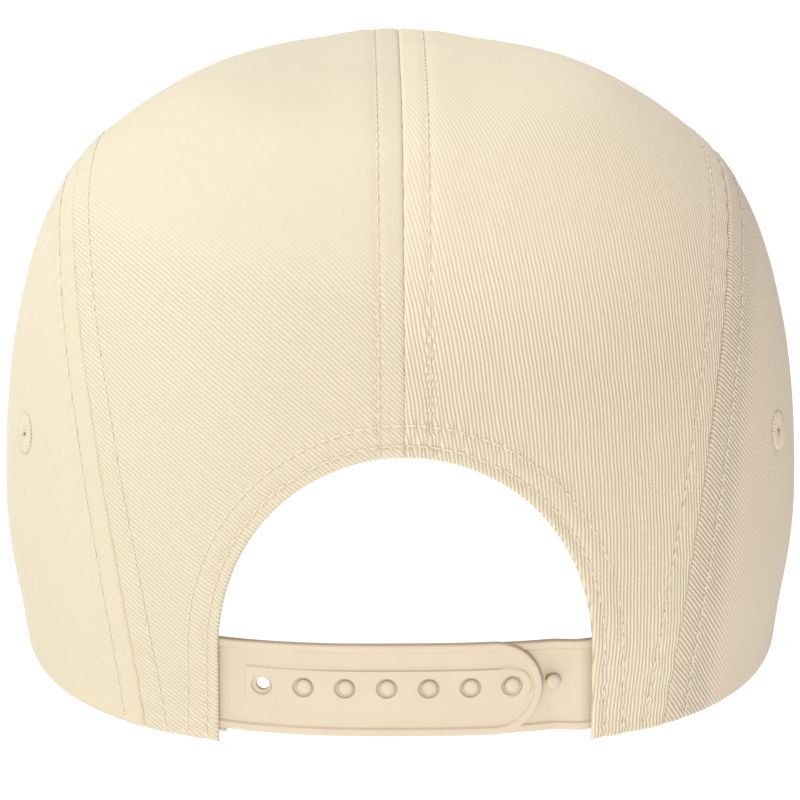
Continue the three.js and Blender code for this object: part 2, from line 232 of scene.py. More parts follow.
@dataclass(frozen=True)
class Twill:
    """Cotton twill with a raised diagonal rib.

    Attributes:
        name: The material's name.
        grain: The rib's direction on the cloth map, in degrees from its first axis.
        crest: The colour on the ribs.
        valley_shade: The colour between the ribs, painted shade in their grooves; the yarn's random tone
            also runs towards it.
        pitch: The distance between ribs.
        depth: The height of a rib.
        contrast: How strongly the ribs' painted groove shade and their relief show.
        yarn: The length of a yarn's float along the rib.
        drift_size: The size of the slow bends of the ribs.
        wander_size: The size of the quick ones.
        fibre_size: The size of the fibres' fuzz.
        slub_size: The size of the thick and thin places of the yarn.
        pressed_height: The heights between which the pressed top loses its relief.
        pressed_side: The distances from the middle between which the sides lose it, at the rim.
        pressed_lean: How much further out that happens for each metre of height.
        pressed: How much of the relief a pressed place keeps.
    """

    name: str
    grain: float
    crest: tuple[float, float, float] = (0.715, 0.642, 0.475)
    valley_shade: tuple[float, float, float] = (0.57, 0.49, 0.348)
    pitch: float = 0.84 * MM
    depth: float = 0.2 * MM
    contrast: float = 1.0
    yarn: float = 0.62 * MM
    drift_size: float = 14 * MM
    wander_size: float = 1.6 * MM
    fibre_size: float = 0.16 * MM
    slub_size: float = 1.1 * MM
    pressed_height: tuple[float, float] = (74 * MM, 104 * MM)
    pressed_side: tuple[float, float] = (62.5 * MM, 67.5 * MM)
    pressed_lean: float = 0.14
    pressed: float = 0.28

    def material(self) -> bpy.types.Material:
        """Builds the material."""
        graph = Graph(self.name)
        first, second = graph.weave()
        angle = math.radians(self.grain)
        along = first * math.cos(angle) + second * math.sin(angle)
        across = second * math.cos(angle) - first * math.sin(angle)
        cloth = graph.point(first, second)
        drift = graph.noise(cloth, self.drift_size, 1.0) - 0.5
        wander = graph.noise(graph.point(along * 0.25, across), self.wander_size, 2.0) - 0.5
        rib = across / self.pitch + drift * 1.1 + wander * 0.35 + graph.attribute(STIR_LAYER)
        crest = rib.wave() ** 0.7
        twist = (along / self.yarn + rib * 0.5).wave()
        fibre = graph.noise(graph.point(along * 0.35, across), self.fibre_size, 3.0)
        slub = graph.noise(graph.point(along * 0.12, across), self.slub_size, 2.0)
        relief = self._relief(graph)
        height = (crest * (0.82 + 0.18 * twist) + fibre * 0.16) * relief
        # painted shade: between the ribs the colour runs to the darker valley colour, as the shade in their
        # grooves
        groove_shade = ((crest.between(0.05, 0.85) - 0.5) * (0.8 * self.contrast) + 0.06) * relief
        tone = groove_shade + fibre * 0.2 + slub * 0.2 + 0.3
        graph.set(
            Base_Color=graph.mix(tone.between(0.0, 1.0), self.valley_shade, self.crest),
            Roughness=0.9,
            Specular_IOR_Level=0.18,
            Sheen_Weight=0.12,
            Sheen_Roughness=0.5,
            Normal=graph.bump(height, self.depth * (0.4 + 0.6 * self.contrast)),
        )
        return graph.material

    def _relief(self, graph: Graph) -> Value:
        """The share of the rib's relief that a place shows: pressing has flattened the top and the sides."""
        spot = graph.spot()
        height = graph.node("ShaderNodeSeparateXYZ", {}, {0: spot}, 2)
        side = graph.node("ShaderNodeSeparateXYZ", {}, {0: spot}, 0).math("ABSOLUTE")
        top = 1.0 - height.between(*self.pressed_height)
        flank = 1.0 - (side - height * self.pressed_lean).between(*self.pressed_side)
        return top * flank * (1 - self.pressed) + self.pressed


@dataclass(frozen=True)
class PlainWeave:
    """A plain woven cotton tape.

    Attributes:
        name: The material's name.
        colour: The yarn's colour.
        shade: The colour between the yarns.
        pitch: The distance between yarns.
    """

    name: str
    colour: tuple[float, float, float]
    shade: tuple[float, float, float]
    pitch: float = 0.55 * MM

    def material(self) -> bpy.types.Material:
        """Builds the material."""
        graph = Graph(self.name)
        first, second = graph.weave()
        cloth = graph.point(first, second)
        loose = graph.noise(cloth, 3 * MM) * 0.6
        warp = (first / self.pitch + loose).wave()
        weft = (second / self.pitch + loose).wave()
        over = warp * weft + (1.0 - warp) * (1.0 - weft)
        fibre = graph.noise(cloth, 0.2 * MM, 3.0)
        shade = graph.mix((over * 0.7 + fibre * 0.5).between(0.1, 0.9), self.shade, self.colour)
        graph.set(
            Base_Color=shade,
            Roughness=0.93,
            Specular_IOR_Level=0.15,
            Normal=graph.bump(over + fibre * 0.3, 0.12 * MM),
        )
        return graph.material


@dataclass(frozen=True)
class Thread:
    """Sewing thread with a faint twist.

    Attributes:
        name: The material's name.
        colour: The lit side of the thread.
        shade: The colour in its twist.
    """

    name: str
    colour: tuple[float, float, float] = (0.735, 0.66, 0.53)
    shade: tuple[float, float, float] = (0.65, 0.57, 0.44)

    def material(self) -> bpy.types.Material:
        """Builds the material."""
        graph = Graph(self.name)
        ply = graph.noise(graph.spot(), 0.3 * MM, 2.0)
        graph.set(
            Base_Color=graph.mix(ply.between(0.25, 0.6), self.shade, self.colour),
            Roughness=0.62,
            Specular_IOR_Level=0.3,
            Normal=graph.bump(ply, 0.08 * MM),
        )
        return graph.material


@dataclass(frozen=True)
class MouldedPlastic:
    """Soft satin plastic, with faint flow marks and a fine grain.

    Attributes:
        name: The material's name.
        colour: The plastic's colour.
        flow: The colour of its flow marks.
    """

    name: str
    colour: tuple[float, float, float] = (0.63, 0.542, 0.403)
    flow: tuple[float, float, float] = (0.612, 0.518, 0.38)

    def material(self) -> bpy.types.Material:
        """Builds the material."""
        graph = Graph(self.name)
        spot = graph.spot()
        cloud = graph.noise(spot, 11 * MM, 2.0)
        grain = graph.noise(spot, 0.25 * MM, 3.0)
        graph.set(
            Base_Color=graph.mix(cloud.between(0.3, 0.75), self.colour, self.flow),
            Roughness=grain * 0.12 + 0.42,
            Specular_IOR_Level=0.36,
            Normal=graph.bump(grain, 0.02 * MM),
        )
        return graph.material


# The crown's form


@dataclass(frozen=True)
class Section:
    """One ring of the crown, as shares of its half width, its two reaches and its height."""

    width: float
    back: float
    front: float
    height: float


CROWN_SECTIONS = (
    Section(0, 0, 0, 1),
    Section(0.258, 0.237, 0.217, 0.997),
    Section(0.55, 0.47, 0.435, 0.955),
    Section(0.835, 0.69, 0.635, 0.793),
    Section(0.966, 0.874, 0.815, 0.541),
    Section(1, 0.991, 0.945, 0.231),
    Section(0.948, 1, 1, 0),
)


def chart(across: float | Array, along: float | Array) -> Array:
    """Chart points from their two coordinates."""
    return np.stack(np.broadcast_arrays(np.asarray(across, float), np.asarray(along, float)), axis=-1)


def polar(angle: Array, reach: float | Array) -> Array:
    """Chart points from an angle and a reach."""
    return chart(np.cos(angle) * reach, np.sin(angle) * reach)


def smooth(value: Array, low: float, high: float) -> Array:
    """A smooth step from 0 at low to 1 at high."""
    share = np.clip((value - low) / (high - low), 0, 1)
    return share * share * (3 - 2 * share)


def filled(marks: Sequence[float], step: float) -> Array:
    """The marks in order, with even places between those that lie further apart than a step."""
    rows = np.unique(np.round(marks, 9))
    parts = [
        np.linspace(low, high, max(math.ceil((high - low) / step), 1), endpoint=False)
        for low, high in zip(rows[:-1], rows[1:])
    ]
    return np.concatenate([*parts, rows[-1:]])


def unit(vectors: Array) -> Array:
    """The vectors at length one."""
    return vectors / np.maximum(np.linalg.norm(vectors, axis=-1, keepdims=True), 1e-12)


def crowded(count: int, crowd: float = 0.86) -> Array:
    """Shares from 0 to 1 that lie closer together at both ends."""
    share = np.linspace(0, 1, count + 1)
    return share - crowd * np.sin(math.tau * share) / math.tau


def bulge(distance: Array, radius: float) -> Array:
    """The height of a rounded edge, from 0 at the edge itself to 1 a radius inside it."""
    share = np.clip(1 - distance / radius, 0, 1)
    return np.sqrt(1 - share**2)


def bell(distance: Array, width: float) -> Array:
    """A soft hump, 1 in its middle, that fades over a width."""
    return np.exp(-((distance / width) ** 2))


def run_length(line: Array) -> Array:
    """How far along a line of points each point lies."""
    return np.concatenate([[0], np.cumsum(np.linalg.norm(np.diff(line, axis=0), axis=1))])


def spline(rows: Array, step: Array, share: Array) -> Array:
    """Points of a Catmull-Rom curve.

    Args:
        rows: The rows that it passes, with one more before the first and one after the last.
        step: The number of the row that each point comes after.
        share: The share of the way from that row to the next.

    Returns:
        The points.
    """
    a, b, c, d = (rows[step + offset] for offset in range(4))
    bend = 2 * a - 5 * b + 4 * c - d + share * (3 * (b - c) + d - a)
    return b + 0.5 * share * (c - a + share * bend)


def sided(stem: str, side: int) -> str:
    """A node's name for one side, which is -1 for the left and 1 for the right."""
    return f"{stem}_{'left' if side < 0 else 'right'}"


@dataclass
class Crown:
    """The crown's outer face, from the same driving sizes as the solids.

    Attributes:
        half_width: Half the widest width.
        middle: How far the crown's own middle lies behind the origin.
        height: The height of the crown's top, without the ridge on its centre seam.
    """

    half_width: float
    middle: float
    height: float = 124.2 * MM
    back_reach: float = 85 * MM
    front_reach: float = 98 * MM
    top_squareness: float = 2.0
    rim_squareness: float = 2.65
    wall: float = 1.4 * MM
    gap: float = 0.3 * MM
    ridge_height: float = 0.95 * MM
    ridge_half_width: float = 13 * MM
    peak_end: float = math.radians(24)
    peak_end_ease: float = math.radians(9)
    peak_end_thickness: float = 1.5 * MM
    peak_rise: float = 17 * MM

    def __post_init__(self) -> None:
        """Tabulates the height against the reach."""
        self._reaches = np.linspace(0.02, 1, 4000)
        self._heights = self.height * self.section("height", self._reaches)

    def section(self, column: str, reach: Array) -> Array:
        """A Catmull-Rom curve through one column of the sections.

        Args:
            column: The column's name.
            reach: Chart reaches.

        Returns:
            The column's value at each reach.
        """
        rows = np.array([getattr(row, column) for row in CROWN_SECTIONS], float)
        mirrored = rows[1] if column == "height" else -rows[1]
        ends = np.concatenate([[mirrored], rows, [2 * rows[-1] - rows[-2]]])
        place = np.clip(reach, 0, 1) * (len(rows) - 1)
        step = np.minimum(place.astype(int), len(rows) - 2)
        return spline(ends, step, place - step)

    def squareness(self, reach: Array) -> Array:
        """The exponent of the ring at a reach."""
        return self.top_squareness + (self.rim_squareness - self.top_squareness) * reach**4

    def point(self, places: Array) -> Array:
        """The outer face at chart points."""
        reach = np.hypot(places[..., 0], places[..., 1])
        angle = np.arctan2(places[..., 1], places[..., 0])
        power = self.squareness(reach)
        cos, sin = np.cos(angle), np.sin(angle)
        spread = (np.abs(cos) ** power + np.abs(sin) ** power) ** (-1 / power)
        forward = self.front_reach * self.section("front", reach)
        backward = self.back_reach * self.section("back", reach)
        x = self.half_width * self.section("width", reach) * spread * cos
        y = np.where(sin > 0, forward, backward) * spread * sin
        z = self.height * self.section("height", reach)
        rise = np.minimum((z / self.height) ** 2, 1)
        z = z + self.ridge_height * np.exp(-((x / self.ridge_half_width) ** 4)) * rise
        return np.stack([x, y - self.middle, z], axis=-1)

    def normal(self, places: Array) -> Array:
        """The outward direction at chart points, levelled near the rim."""
        nudge = 0.002
        reach = np.hypot(places[..., 0], places[..., 1])
        kept = np.clip(reach, nudge, 1 - nudge)
        middle = places * (kept / np.maximum(reach, 1e-9))[..., None]
        across = self.point(middle + [nudge, 0]) - self.point(middle - [nudge, 0])
        along = self.point(middle + [0, nudge]) - self.point(middle - [0, nudge])
        normal = unit(np.cross(across, along))
        normal[..., 2] *= 1 - smooth(reach, 0.9, 1)
        return unit(normal)

    def under(self, places: Array, depth: float | Array) -> Array:
        """Points a given depth inside the outer face."""
        return self.point(places) - self.normal(places) * np.asarray(depth)[..., None]

    def reach_at(self, height: Array) -> Array:
        """The chart reach where the crown stands at a height."""
        return np.where(height > 0, np.interp(height, self._heights[::-1], self._reaches[::-1]), 1.0)

    def back_chart(self, x: Array, height: Array) -> Array:
        """Chart points at the back of the crown for distances from its middle and heights."""
        reach = self.reach_at(np.asarray(height, float))
        power = self.squareness(reach)
        across = x / (self.half_width * self.section("width", reach))
        along = (1 - np.minimum(np.abs(across), 1) ** power) ** (1 / power)
        return polar(np.arctan2(-along, across), reach)

    def peak_share(self, angle: Array) -> Array:
        """The share of the peak's half width at an angle of the rim."""
        return self.point(polar(angle, 1.0))[..., 0] / self.peak_half_width

    @property
    def peak_half_width(self) -> float:
        """Half the peak's width, where it comes out from under the side panels."""
        return float(self.point(polar(np.array(self.peak_end), 1.0))[0])

    def rim_height(self, angle: Array) -> Array:
        """How far the crown's lower edge stands off the surface: the peak raises it at the front."""
        past = np.abs(angle - math.pi / 2) - (math.pi / 2 - self.peak_end)
        share = np.minimum(self.peak_share(angle) ** 2, 1)
        raised = self.peak_end_thickness + self.peak_rise * (1 - share)
        eased = self.peak_end_thickness * (1 - smooth(past, 0, self.peak_end_ease))
        lifted = np.where(past < 0, raised, eased)
        return lifted + self.gap * (1 - smooth(past, 0, self.peak_end_ease))

    def rim(self, angle: Array) -> Array:
        """The chart points of the crown's lower edge."""
        return polar(angle, self.reach_at(self.rim_height(angle)))


def chart_angle(place: Array) -> float:
    """A chart point's angle, counted from the middle of the back round the right side."""
    angle = math.atan2(place[1], place[0])
    return angle + math.tau if angle < -math.pi / 2 else angle


def curve_through(points: Sequence[Sequence[float]]) -> ChartCurve:
    """A smooth chart curve through points, by its own length.

    Args:
        points: The chart points that it passes.

    Returns:
        A function from shares of its length to chart points.
    """
    rows = np.array(points, float)
    padded = np.concatenate([rows[:1], rows, rows[-1:]])
    place = np.linspace(0, len(rows) - 1, CURVE_STEPS * (len(rows) - 1) + 1)
    step = np.minimum(place.astype(int), len(rows) - 2)
    line = spline(padded, step, (place - step)[:, None])
    length = run_length(line)
    length /= length[-1]

    def at(shares: Array) -> Array:
        """The curve's points at shares of its length."""
        return chart(np.interp(shares, length, line[:, 0]), np.interp(shares, length, line[:, 1]))

    return at


@dataclass
class SeamPlan:
    """The lines that divide the crown into its five panels.

    Attributes:
        crown: The crown that they lie on.
        side_rows: The right side seam, from the rim at the back to the front panel's corner.
        front_rows: The front panel's right edge, from its top corner down.
        front_foot: The angle of that edge's foot on the rim.
        top_rows: The front panel's top edge, from the middle to its right corner.
    """

    crown: Crown
    side_rows: tuple[tuple[float, float], ...] = (
        (0.612, -0.791),
        (0.55, -0.65),
        (0.527, -0.5),
        (0.512, -0.37),
        (0.491, -0.22),
        (0.479, -0.03),
        (0.462, 0.17),
        (0.42, 0.34),
        (0.361, 0.459),
    )
    front_rows: tuple[tuple[float, float], ...] = ((0.361, 0.459), (0.535, 0.545))
    front_foot: float = math.radians(38.5)
    top_rows: tuple[tuple[float, float], ...] = ((0, 0.565), (0.19, 0.537), (0.361, 0.459))
    arch_half_width: float = 39.5 * MM
    arch_height: float = 61.8 * MM
    leg_height: float = 20 * MM
    arch_roundness: float = 2.06
    leg_share: float = 0.22

    def side(self, side: int) -> ChartCurve:
        """A side seam, from the rim up."""
        return curve_through([(side * across, along) for across, along in self.side_rows])

    def front(self, side: int) -> ChartCurve:
        """An edge of the front panel, from the rim up."""
        foot = self.crown.rim(np.array(math.pi / 2 - side * (math.pi / 2 - self.front_foot)))
        upper = [(side * across, along) for across, along in self.front_rows]
        return curve_through([foot, *reversed(upper)])

    def top(self, side: int) -> ChartCurve:
        """Half of the front panel's top edge, from the middle out."""
        return curve_through([(side * across, along) for across, along in self.top_rows])

    def arch(self, side: int) -> ChartCurve:
        """Half of the arch's edge, from its foot up its leg and round to the middle."""

        def at(shares: Array) -> Array:
            """Points at shares of the way."""
            turn = np.clip((shares - self.leg_share) / (1 - self.leg_share), 0, 1) * (math.pi / 2)
            power = 2 / self.arch_roundness
            across = np.where(shares < self.leg_share, 1.0, np.maximum(np.cos(turn), 0) ** power)
            round_height = self.leg_height + (self.arch_height - self.leg_height) * np.sin(turn) ** power
            leg_height = shares / self.leg_share * self.leg_height
            height = np.where(shares < self.leg_share, leg_height, round_height)
            return self.crown.back_chart(side * self.arch_half_width * across, height)

        return at

    def rim(self, start: Array, end: Array) -> ChartCurve:
        """The rim between two seams' feet."""
        angles = chart_angle(start), chart_angle(end)
        return lambda shares: self.crown.rim(angles[0] + (angles[1] - angles[0]) * shares)


# Cloth panels


class Finish(Enum):
    """How an edge of a panel is finished."""

    SEAM = "sewn to a neighbour and pressed open"
    HEM = "folded under and sewn down twice"
    RIM = "folded over the sweatband"
    POINT = "closed to a point"


@dataclass(frozen=True)
class Border:
    """One edge of a panel.

    Attributes:
        finish: How it is finished.
        curve: Where it runs on the chart.
        rows: The distances of its stitch rows.
        welt: The share of the usual welt, which is none where the crown itself has a ridge.
        roll: The share of the usual roll.
    """

    finish: Finish
    curve: ChartCurve
    rows: tuple[float, ...] = ()
    welt: float = 1.0
    roll: float = 1.0


@dataclass(frozen=True)
class Outline:
    """The four chart edges of a panel. left and right run upwards, bottom and top from left to right."""

    left: ChartCurve
    right: ChartCurve
    bottom: ChartCurve
    top: ChartCurve

    def place(self, u: Array, v: Array) -> Array:
        """Blends the four edges at shares of the way across and up."""
        zero, one = np.zeros(1), np.ones(1)
        share_u, share_v = u[..., None], v[..., None]

        def mix(first: Array, second: Array, share: Array) -> Array:
            """A blend of two."""
            return first + (second - first) * share

        low = mix(self.bottom(zero), self.bottom(one), share_u)
        high = mix(self.top(zero), self.top(one), share_u)
        across = mix(self.left(v), self.right(v), share_u)
        up = mix(self.bottom(u), self.top(u), share_v)
        return across + up - mix(low, high, share_v)


@dataclass(frozen=True)
class Relief:
    """The shape that sewing gives the cloth near an edge."""

    fold: float = 0.7 * MM
    seam_roll: float = 0.85 * MM
    seam_roll_width: float = 1.1 * MM
    welt: float = 0.3 * MM
    hem_welt: float = 0.35 * MM
    welt_end: float = 8.5 * MM
    stitch_pull: float = 0.26 * MM
    stitch_pull_width: float = 0.8 * MM
    stir: float = 0.3
    stir_width: float = 1.3 * MM
    pucker: float = 0.17 * MM
    pucker_pitch: float = 6 * MM
    pucker_reach: float = 5 * MM
    drape: float = 0.5 * MM
    drape_size: float = 26 * MM
    deepest: float = 1.2 * MM


def nearest(points: Array, line: Array) -> tuple[Array, Array]:
    """The distance from each point to a line of points, and how far along the line that is."""
    steps = np.linalg.norm(np.diff(line, axis=0), axis=1)
    length = run_length(line)
    best = np.full(len(points), np.inf)
    along = np.zeros(len(points))
    for index, (start, end) in enumerate(zip(line[:-1], line[1:])):
        way = end - start
        share = np.clip((points - start) @ way / max(float(way @ way), 1e-18), 0, 1)
        distance = np.linalg.norm(points - start - share[:, None] * way, axis=1)
        closer = distance < best
        best[closer] = distance[closer]
        along[closer] = length[index] + share[closer] * steps[index]
    return best, along


@dataclass
class ClothPanel:
    """One panel of the crown, a wall of twill with rolled, sewn edges.

    Attributes:
        node: The solid that it replaces.
        crown: The crown that it lies on.
        outline: Its four edges on the chart.
        borders: How each of its edges is finished.
        columns: Shares of the way across, one for each line of the mesh.
        rows: Shares of the way up.
        grain_spot: A chart point in its middle, where the cloth map is upright.
        finish: Its twill.
        phase: What tells its folds from the next panel's.
    """

    node: str
    crown: Crown
    outline: Outline
    borders: tuple[Border, ...]
    columns: Array
    rows: Array
    grain_spot: tuple[float, float]
    finish: Twill
    phase: float
    relief: Relief = field(default_factory=Relief)
    seam_gap: float = 0.06 * MM
    vents: tuple[tuple[float, float], ...] = ()
    vent_radius: float = 2.1 * MM
    vent_calm: float = 5 * MM
    lowest_stitch: float = 1 * MM

    def __post_init__(self) -> None:
        """Works out the grid's chart points and the lines that shape the relief."""
        u, v = np.meshgrid(self.columns, self.rows)
        u = self._between(u, self.outline.left(v), self.outline.right(v))
        v = self._between(v, self.outline.bottom(u), self.outline.top(u), first=False)
        self.places = self.outline.place(u, v).reshape(-1, 2)
        self.inside = self.places.mean(axis=0)
        shares = np.linspace(0, 1, EDGE_SPOTS)
        self._edge_lines = [self.crown.point(border.curve(shares)) for border in self.borders]
        self._stitch_lines = [
            self.crown.point(self.offset(border, distance, shares))
            for border in self.borders
            for distance in border.rows
        ]

    def _between(self, share: Array, start: Array, end: Array, first: bool = True) -> Array:
        """Keeps a share of the way between two edges clear of the seams by half the seam's gap."""
        width = np.linalg.norm(self.crown.point(start) - self.crown.point(end), axis=-1)
        margin = self.seam_gap / 2 / np.maximum(width, self.seam_gap)
        low = margin if first else 0.0
        return low + (1 - margin - low) * share

    def offset(self, border: Border, distance: float, shares: Array) -> Array:
        """Chart points at a distance inside a border.

        Args:
            border: The border to follow.
            distance: How far inside it the line runs.
            shares: Shares of the border's length.

        Returns:
            The line's chart points.
        """
        line = border.curve(shares)
        nudge = 1e-4
        ahead = border.curve(np.minimum(shares + nudge, 1)) - border.curve(np.maximum(shares - nudge, 0))
        ahead = unit(ahead)
        inward = chart(-ahead[:, 1], ahead[:, 0])
        inward *= np.where(((self.inside - line) * inward).sum(axis=1, keepdims=True) > 0, 1, -1)
        step = 1e-3
        base = self.crown.point(line)
        axes = [(self.crown.point(line + way * step) - base) / step for way in (ahead, inward)]
        tangent = unit(axes[0])
        square = axes[1] - tangent * (axes[1] * tangent).sum(axis=1, keepdims=True)
        size = np.linalg.norm(square, axis=1, keepdims=True)
        lengths = np.linalg.norm(axes[0], axis=1, keepdims=True)
        slide = (axes[1] * tangent).sum(axis=1, keepdims=True) / lengths
        return line + distance / size * (inward - slide * ahead)

    def rise(self, points: Array, stitched: bool = True) -> Array:
        """How far the sewn cloth stands above the crown's plain face.

        Args:
            points: Points of the plain face.
            stitched: Whether the thread pulls the cloth down along its rows.

        Returns:
            The rise of each point, negative where the cloth is drawn in.
        """
        relief = self.relief
        total = self._drape(points)
        for border, line in zip(self.borders, self._edge_lines):
            distance, along = nearest(points, line)
            if border.finish is Finish.POINT:
                continue
            if border.finish is Finish.SEAM:
                welt = relief.welt * border.welt
                total += welt * (1 - smooth(distance, 0.65 * relief.welt_end, relief.welt_end))
                wave = np.sin(math.tau * along / relief.pucker_pitch + self.phase + np.sin(along * 310))
                reach = np.exp(-distance / relief.pucker_reach)
                total += relief.pucker * wave * reach
                share = np.clip(1 - distance / relief.seam_roll_width, 0, 1)
                total -= relief.seam_roll * border.roll * (1 - np.sqrt(1 - share**2 * 0.98))
            else:
                if border.finish is Finish.HEM:
                    fade = smooth(distance, 0.75 * relief.welt_end, relief.welt_end)
                    total += relief.hem_welt * (1 - fade)
                fall = 1 - bulge(distance, relief.fold)
                total -= (relief.fold + np.maximum(total, 0)) * fall
        if stitched:
            for line in self._stitch_lines:
                distance, _ = nearest(points, line)
                total -= relief.stitch_pull * bell(distance, relief.stitch_pull_width)
        return np.maximum(total, -relief.deepest)

    def _drape(self, points: Array) -> Array:
        """The slow unevenness of soft cloth."""
        size = self.relief.drape_size
        x, y, z = (points / size).T
        waves = np.sin(x * 1.3 + z * 0.7 + self.phase) * np.sin(y * 1.1 - z * 0.9 + 2.1 * self.phase)
        waves += 0.5 * np.sin(x * 2.3 - y * 1.7 + z * 1.9 + 3.7 * self.phase)
        for vent in self.vents:
            distance = np.linalg.norm(points - self.crown.point(np.array(vent)), axis=1)
            waves *= smooth(distance, self.vent_calm, 3 * self.vent_calm)
        return self.relief.drape * (waves - 1) / 2 * smooth(points[:, 2], 0.0, 12 * MM)

    def stir(self, points: Array) -> Array:
        """How far the ribs are pushed aside by the stitches, in ribs."""
        total = np.zeros(len(points))
        for line in self._stitch_lines:
            distance, along = nearest(points, line)
            near = bell(distance, self.relief.stir_width)
            total += self.relief.stir * near * np.sin(math.tau * along / Stitching.pitch)
        return total

    def _inner_depth(self, points: Array) -> Array:
        """The depth of the panel's inner face, which meets the outer face at a folded edge."""
        depth = np.full(len(points), self.crown.wall)
        fold = self.relief.fold
        for border, line in zip(self.borders, self._edge_lines):
            if border.finish in (Finish.HEM, Finish.RIM):
                distance, _ = nearest(points, line)
                depth -= (self.crown.wall - fold) * (1 - bulge(distance, fold))
        return depth

    def build(self) -> bpy.types.Object:
        """Builds the panel and dresses it.

        Returns:
            The finished piece.
        """
        bm = bmesh.new()
        layer = grid(bm, len(self.columns) - 1, len(self.rows) - 1)
        place(bm, layer, self.crown.point(self.places))
        self._cut_vents(bm, layer)
        plain = self.crown.point(self.places)
        normals = self.crown.normal(self.places)
        piece = to_object(bm, f"cloth_{self.node}")
        spot = np.array(self.grain_spot)
        flatten(piece, self.crown.point(spot), self.crown.normal(spot))
        outer = plain + normals * self.rise(plain)[:, None]
        inner = plain - normals * self._inner_depth(plain)[:, None]
        outer[:, 2] = np.maximum(outer[:, 2], plain[:, 2].min())
        close_wall(piece, outer, inner, stir=self.stir(plain))
        piece.data.materials.append(self.finish.material())
        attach(piece, BODY)
        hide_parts(self.node)
        flat_size(piece)
        flat_area(piece)
        LOG.info("%s: %d faces", piece.name, len(piece.data.polygons))
        return piece

    def _cut_vents(self, bm: bmesh.types.BMesh, layer: bmesh.types.BMLayerItem) -> None:
        """Opens the vent holes and draws their edges round, under the eyelets."""
        for vent in self.vents:
            centre = Vector(self.crown.point(np.array(vent)))
            inside = faces_near(bm, centre, self.vent_radius)
            edge = {vertex for face in inside for vertex in face.verts}
            bmesh.ops.delete(bm, geom=inside, context="FACES")
            for vertex in edge:
                if vertex.is_valid:
                    number = vertex[layer]
                    away = self.places[number] - vent
                    self.places[number] = vent + away * self.vent_radius / (vertex.co - centre).length
                    vertex.co = self.crown.point(self.places[number])

    def stitches(self) -> list[tuple[Array, Array, Array]]:
        """The places, directions and outward directions of the panel's stitches, one entry for each row."""
        shares = np.linspace(0, 1, ROW_SPOTS)
        rows = []
        for border in self.borders:
            for distance in border.rows:
                places = self.offset(border, distance, shares)
                places = places[self.crown.point(places)[:, 2] > self.lowest_stitch]
                line = self.crown.point(places)
                lift = self.rise(line, stitched=False) - 0.45 * self.relief.stitch_pull
                rows.append(stitch_row(line, self.crown.normal(places), lift))
        return rows


def grid(bm: bmesh.types.BMesh, columns: int, rows: int) -> bmesh.types.BMLayerItem:
    """Makes a grid whose vertices know their place in it.

    Args:
        bm: The mesh to make it in.
        columns: The number of faces across.
        rows: The number of faces up.

    Returns:
        The layer that holds each vertex's number, counted row by row.
    """
    layer = bm.verts.layers.int.new(PLACE_LAYER)
    made = bmesh.ops.create_grid(bm, x_segments=columns, y_segments=rows, size=1.0)["verts"]
    for vertex in made:
        column = round((vertex.co.x + 1) / 2 * columns)
        row = round((vertex.co.y + 1) / 2 * rows)
        vertex[layer] = row * (columns + 1) + column
    return layer


def place(bm: bmesh.types.BMesh, layer: bmesh.types.BMLayerItem, points: Array) -> None:
    """Moves a grid's vertices to their points and merges those that fall together."""
    for vertex in bm.verts:
        vertex.co = points[vertex[layer]]
    bmesh.ops.remove_doubles(bm, verts=bm.verts, dist=0.5e-6)


def to_object(bm: bmesh.types.BMesh, name: str) -> bpy.types.Object:
    """Turns a mesh into an object of the scene and frees it."""
    mesh = bpy.data.meshes.new(name)
    bm.to_mesh(mesh)
    bm.free()
    piece = bpy.data.objects.new(name, mesh)
    bpy.context.scene.collection.objects.link(piece)
    return piece


def faces_near(bm: bmesh.types.BMesh, spot: Vector, radius: float) -> list[bmesh.types.BMFace]:
    """The faces whose middles lie within a radius of a spot."""
    return [face for face in bm.faces if (face.calc_center_median() - spot).length < radius]


def flatten(piece: bpy.types.Object, centre: Array, normal: Array, reach: float = 14 * MM) -> None:
    """Lays an open sheet flat into its cloth map, in metres and upright at a spot.

    Args:
        piece: The sheet, a single layer.
        centre: A point near which the map's second axis points up the sheet, or ahead if the sheet is level.
        normal: The sheet's outward direction there.
        reach: How far round that point the map is matched to the sheet.
    """
    piece.data.uv_layers.new(name=WEAVE_MAP)
    bpy.context.view_layer.objects.active = piece
    piece.select_set(True)
    bpy.ops.object.mode_set(mode="EDIT")
    bpy.ops.mesh.select_all(action="SELECT")
    bpy.ops.uv.unwrap(method="ANGLE_BASED", margin=0.0)
    bpy.ops.object.mode_set(mode="OBJECT")
    piece.select_set(False)
    mesh = piece.data
    corners = np.empty(len(mesh.loops), np.int32)
    mesh.loops.foreach_get("vertex_index", corners)
    flat = np.empty(len(mesh.loops) * 2)
    mesh.uv_layers[WEAVE_MAP].data.foreach_get("uv", flat)
    flat = flat.reshape(-1, 2)
    points = np.empty(len(mesh.vertices) * 3)
    mesh.vertices.foreach_get("co", points)
    points = points.reshape(-1, 3)
    centre = points[np.linalg.norm(points - centre, axis=1).argmin()]
    level = abs(normal[2]) > LEVEL_SHARE
    right = np.array([1.0, 0.0, 0.0]) if level else unit(np.cross([0.0, 0.0, 1.0], normal))
    up = np.cross(normal, right)
    away = points[corners] - centre
    close = np.linalg.norm(away, axis=1) < reach
    start = flat[close].mean(axis=0)
    real = np.stack([away @ right, away @ up], axis=-1)
    real_start = real[close].mean(axis=0)
    turn, *_ = np.linalg.lstsq(flat[close] - start, real[close] - real_start, rcond=None)
    laid = (flat - start) @ turn + real_start
    mesh.uv_layers[WEAVE_MAP].data.foreach_set("uv", laid.ravel())


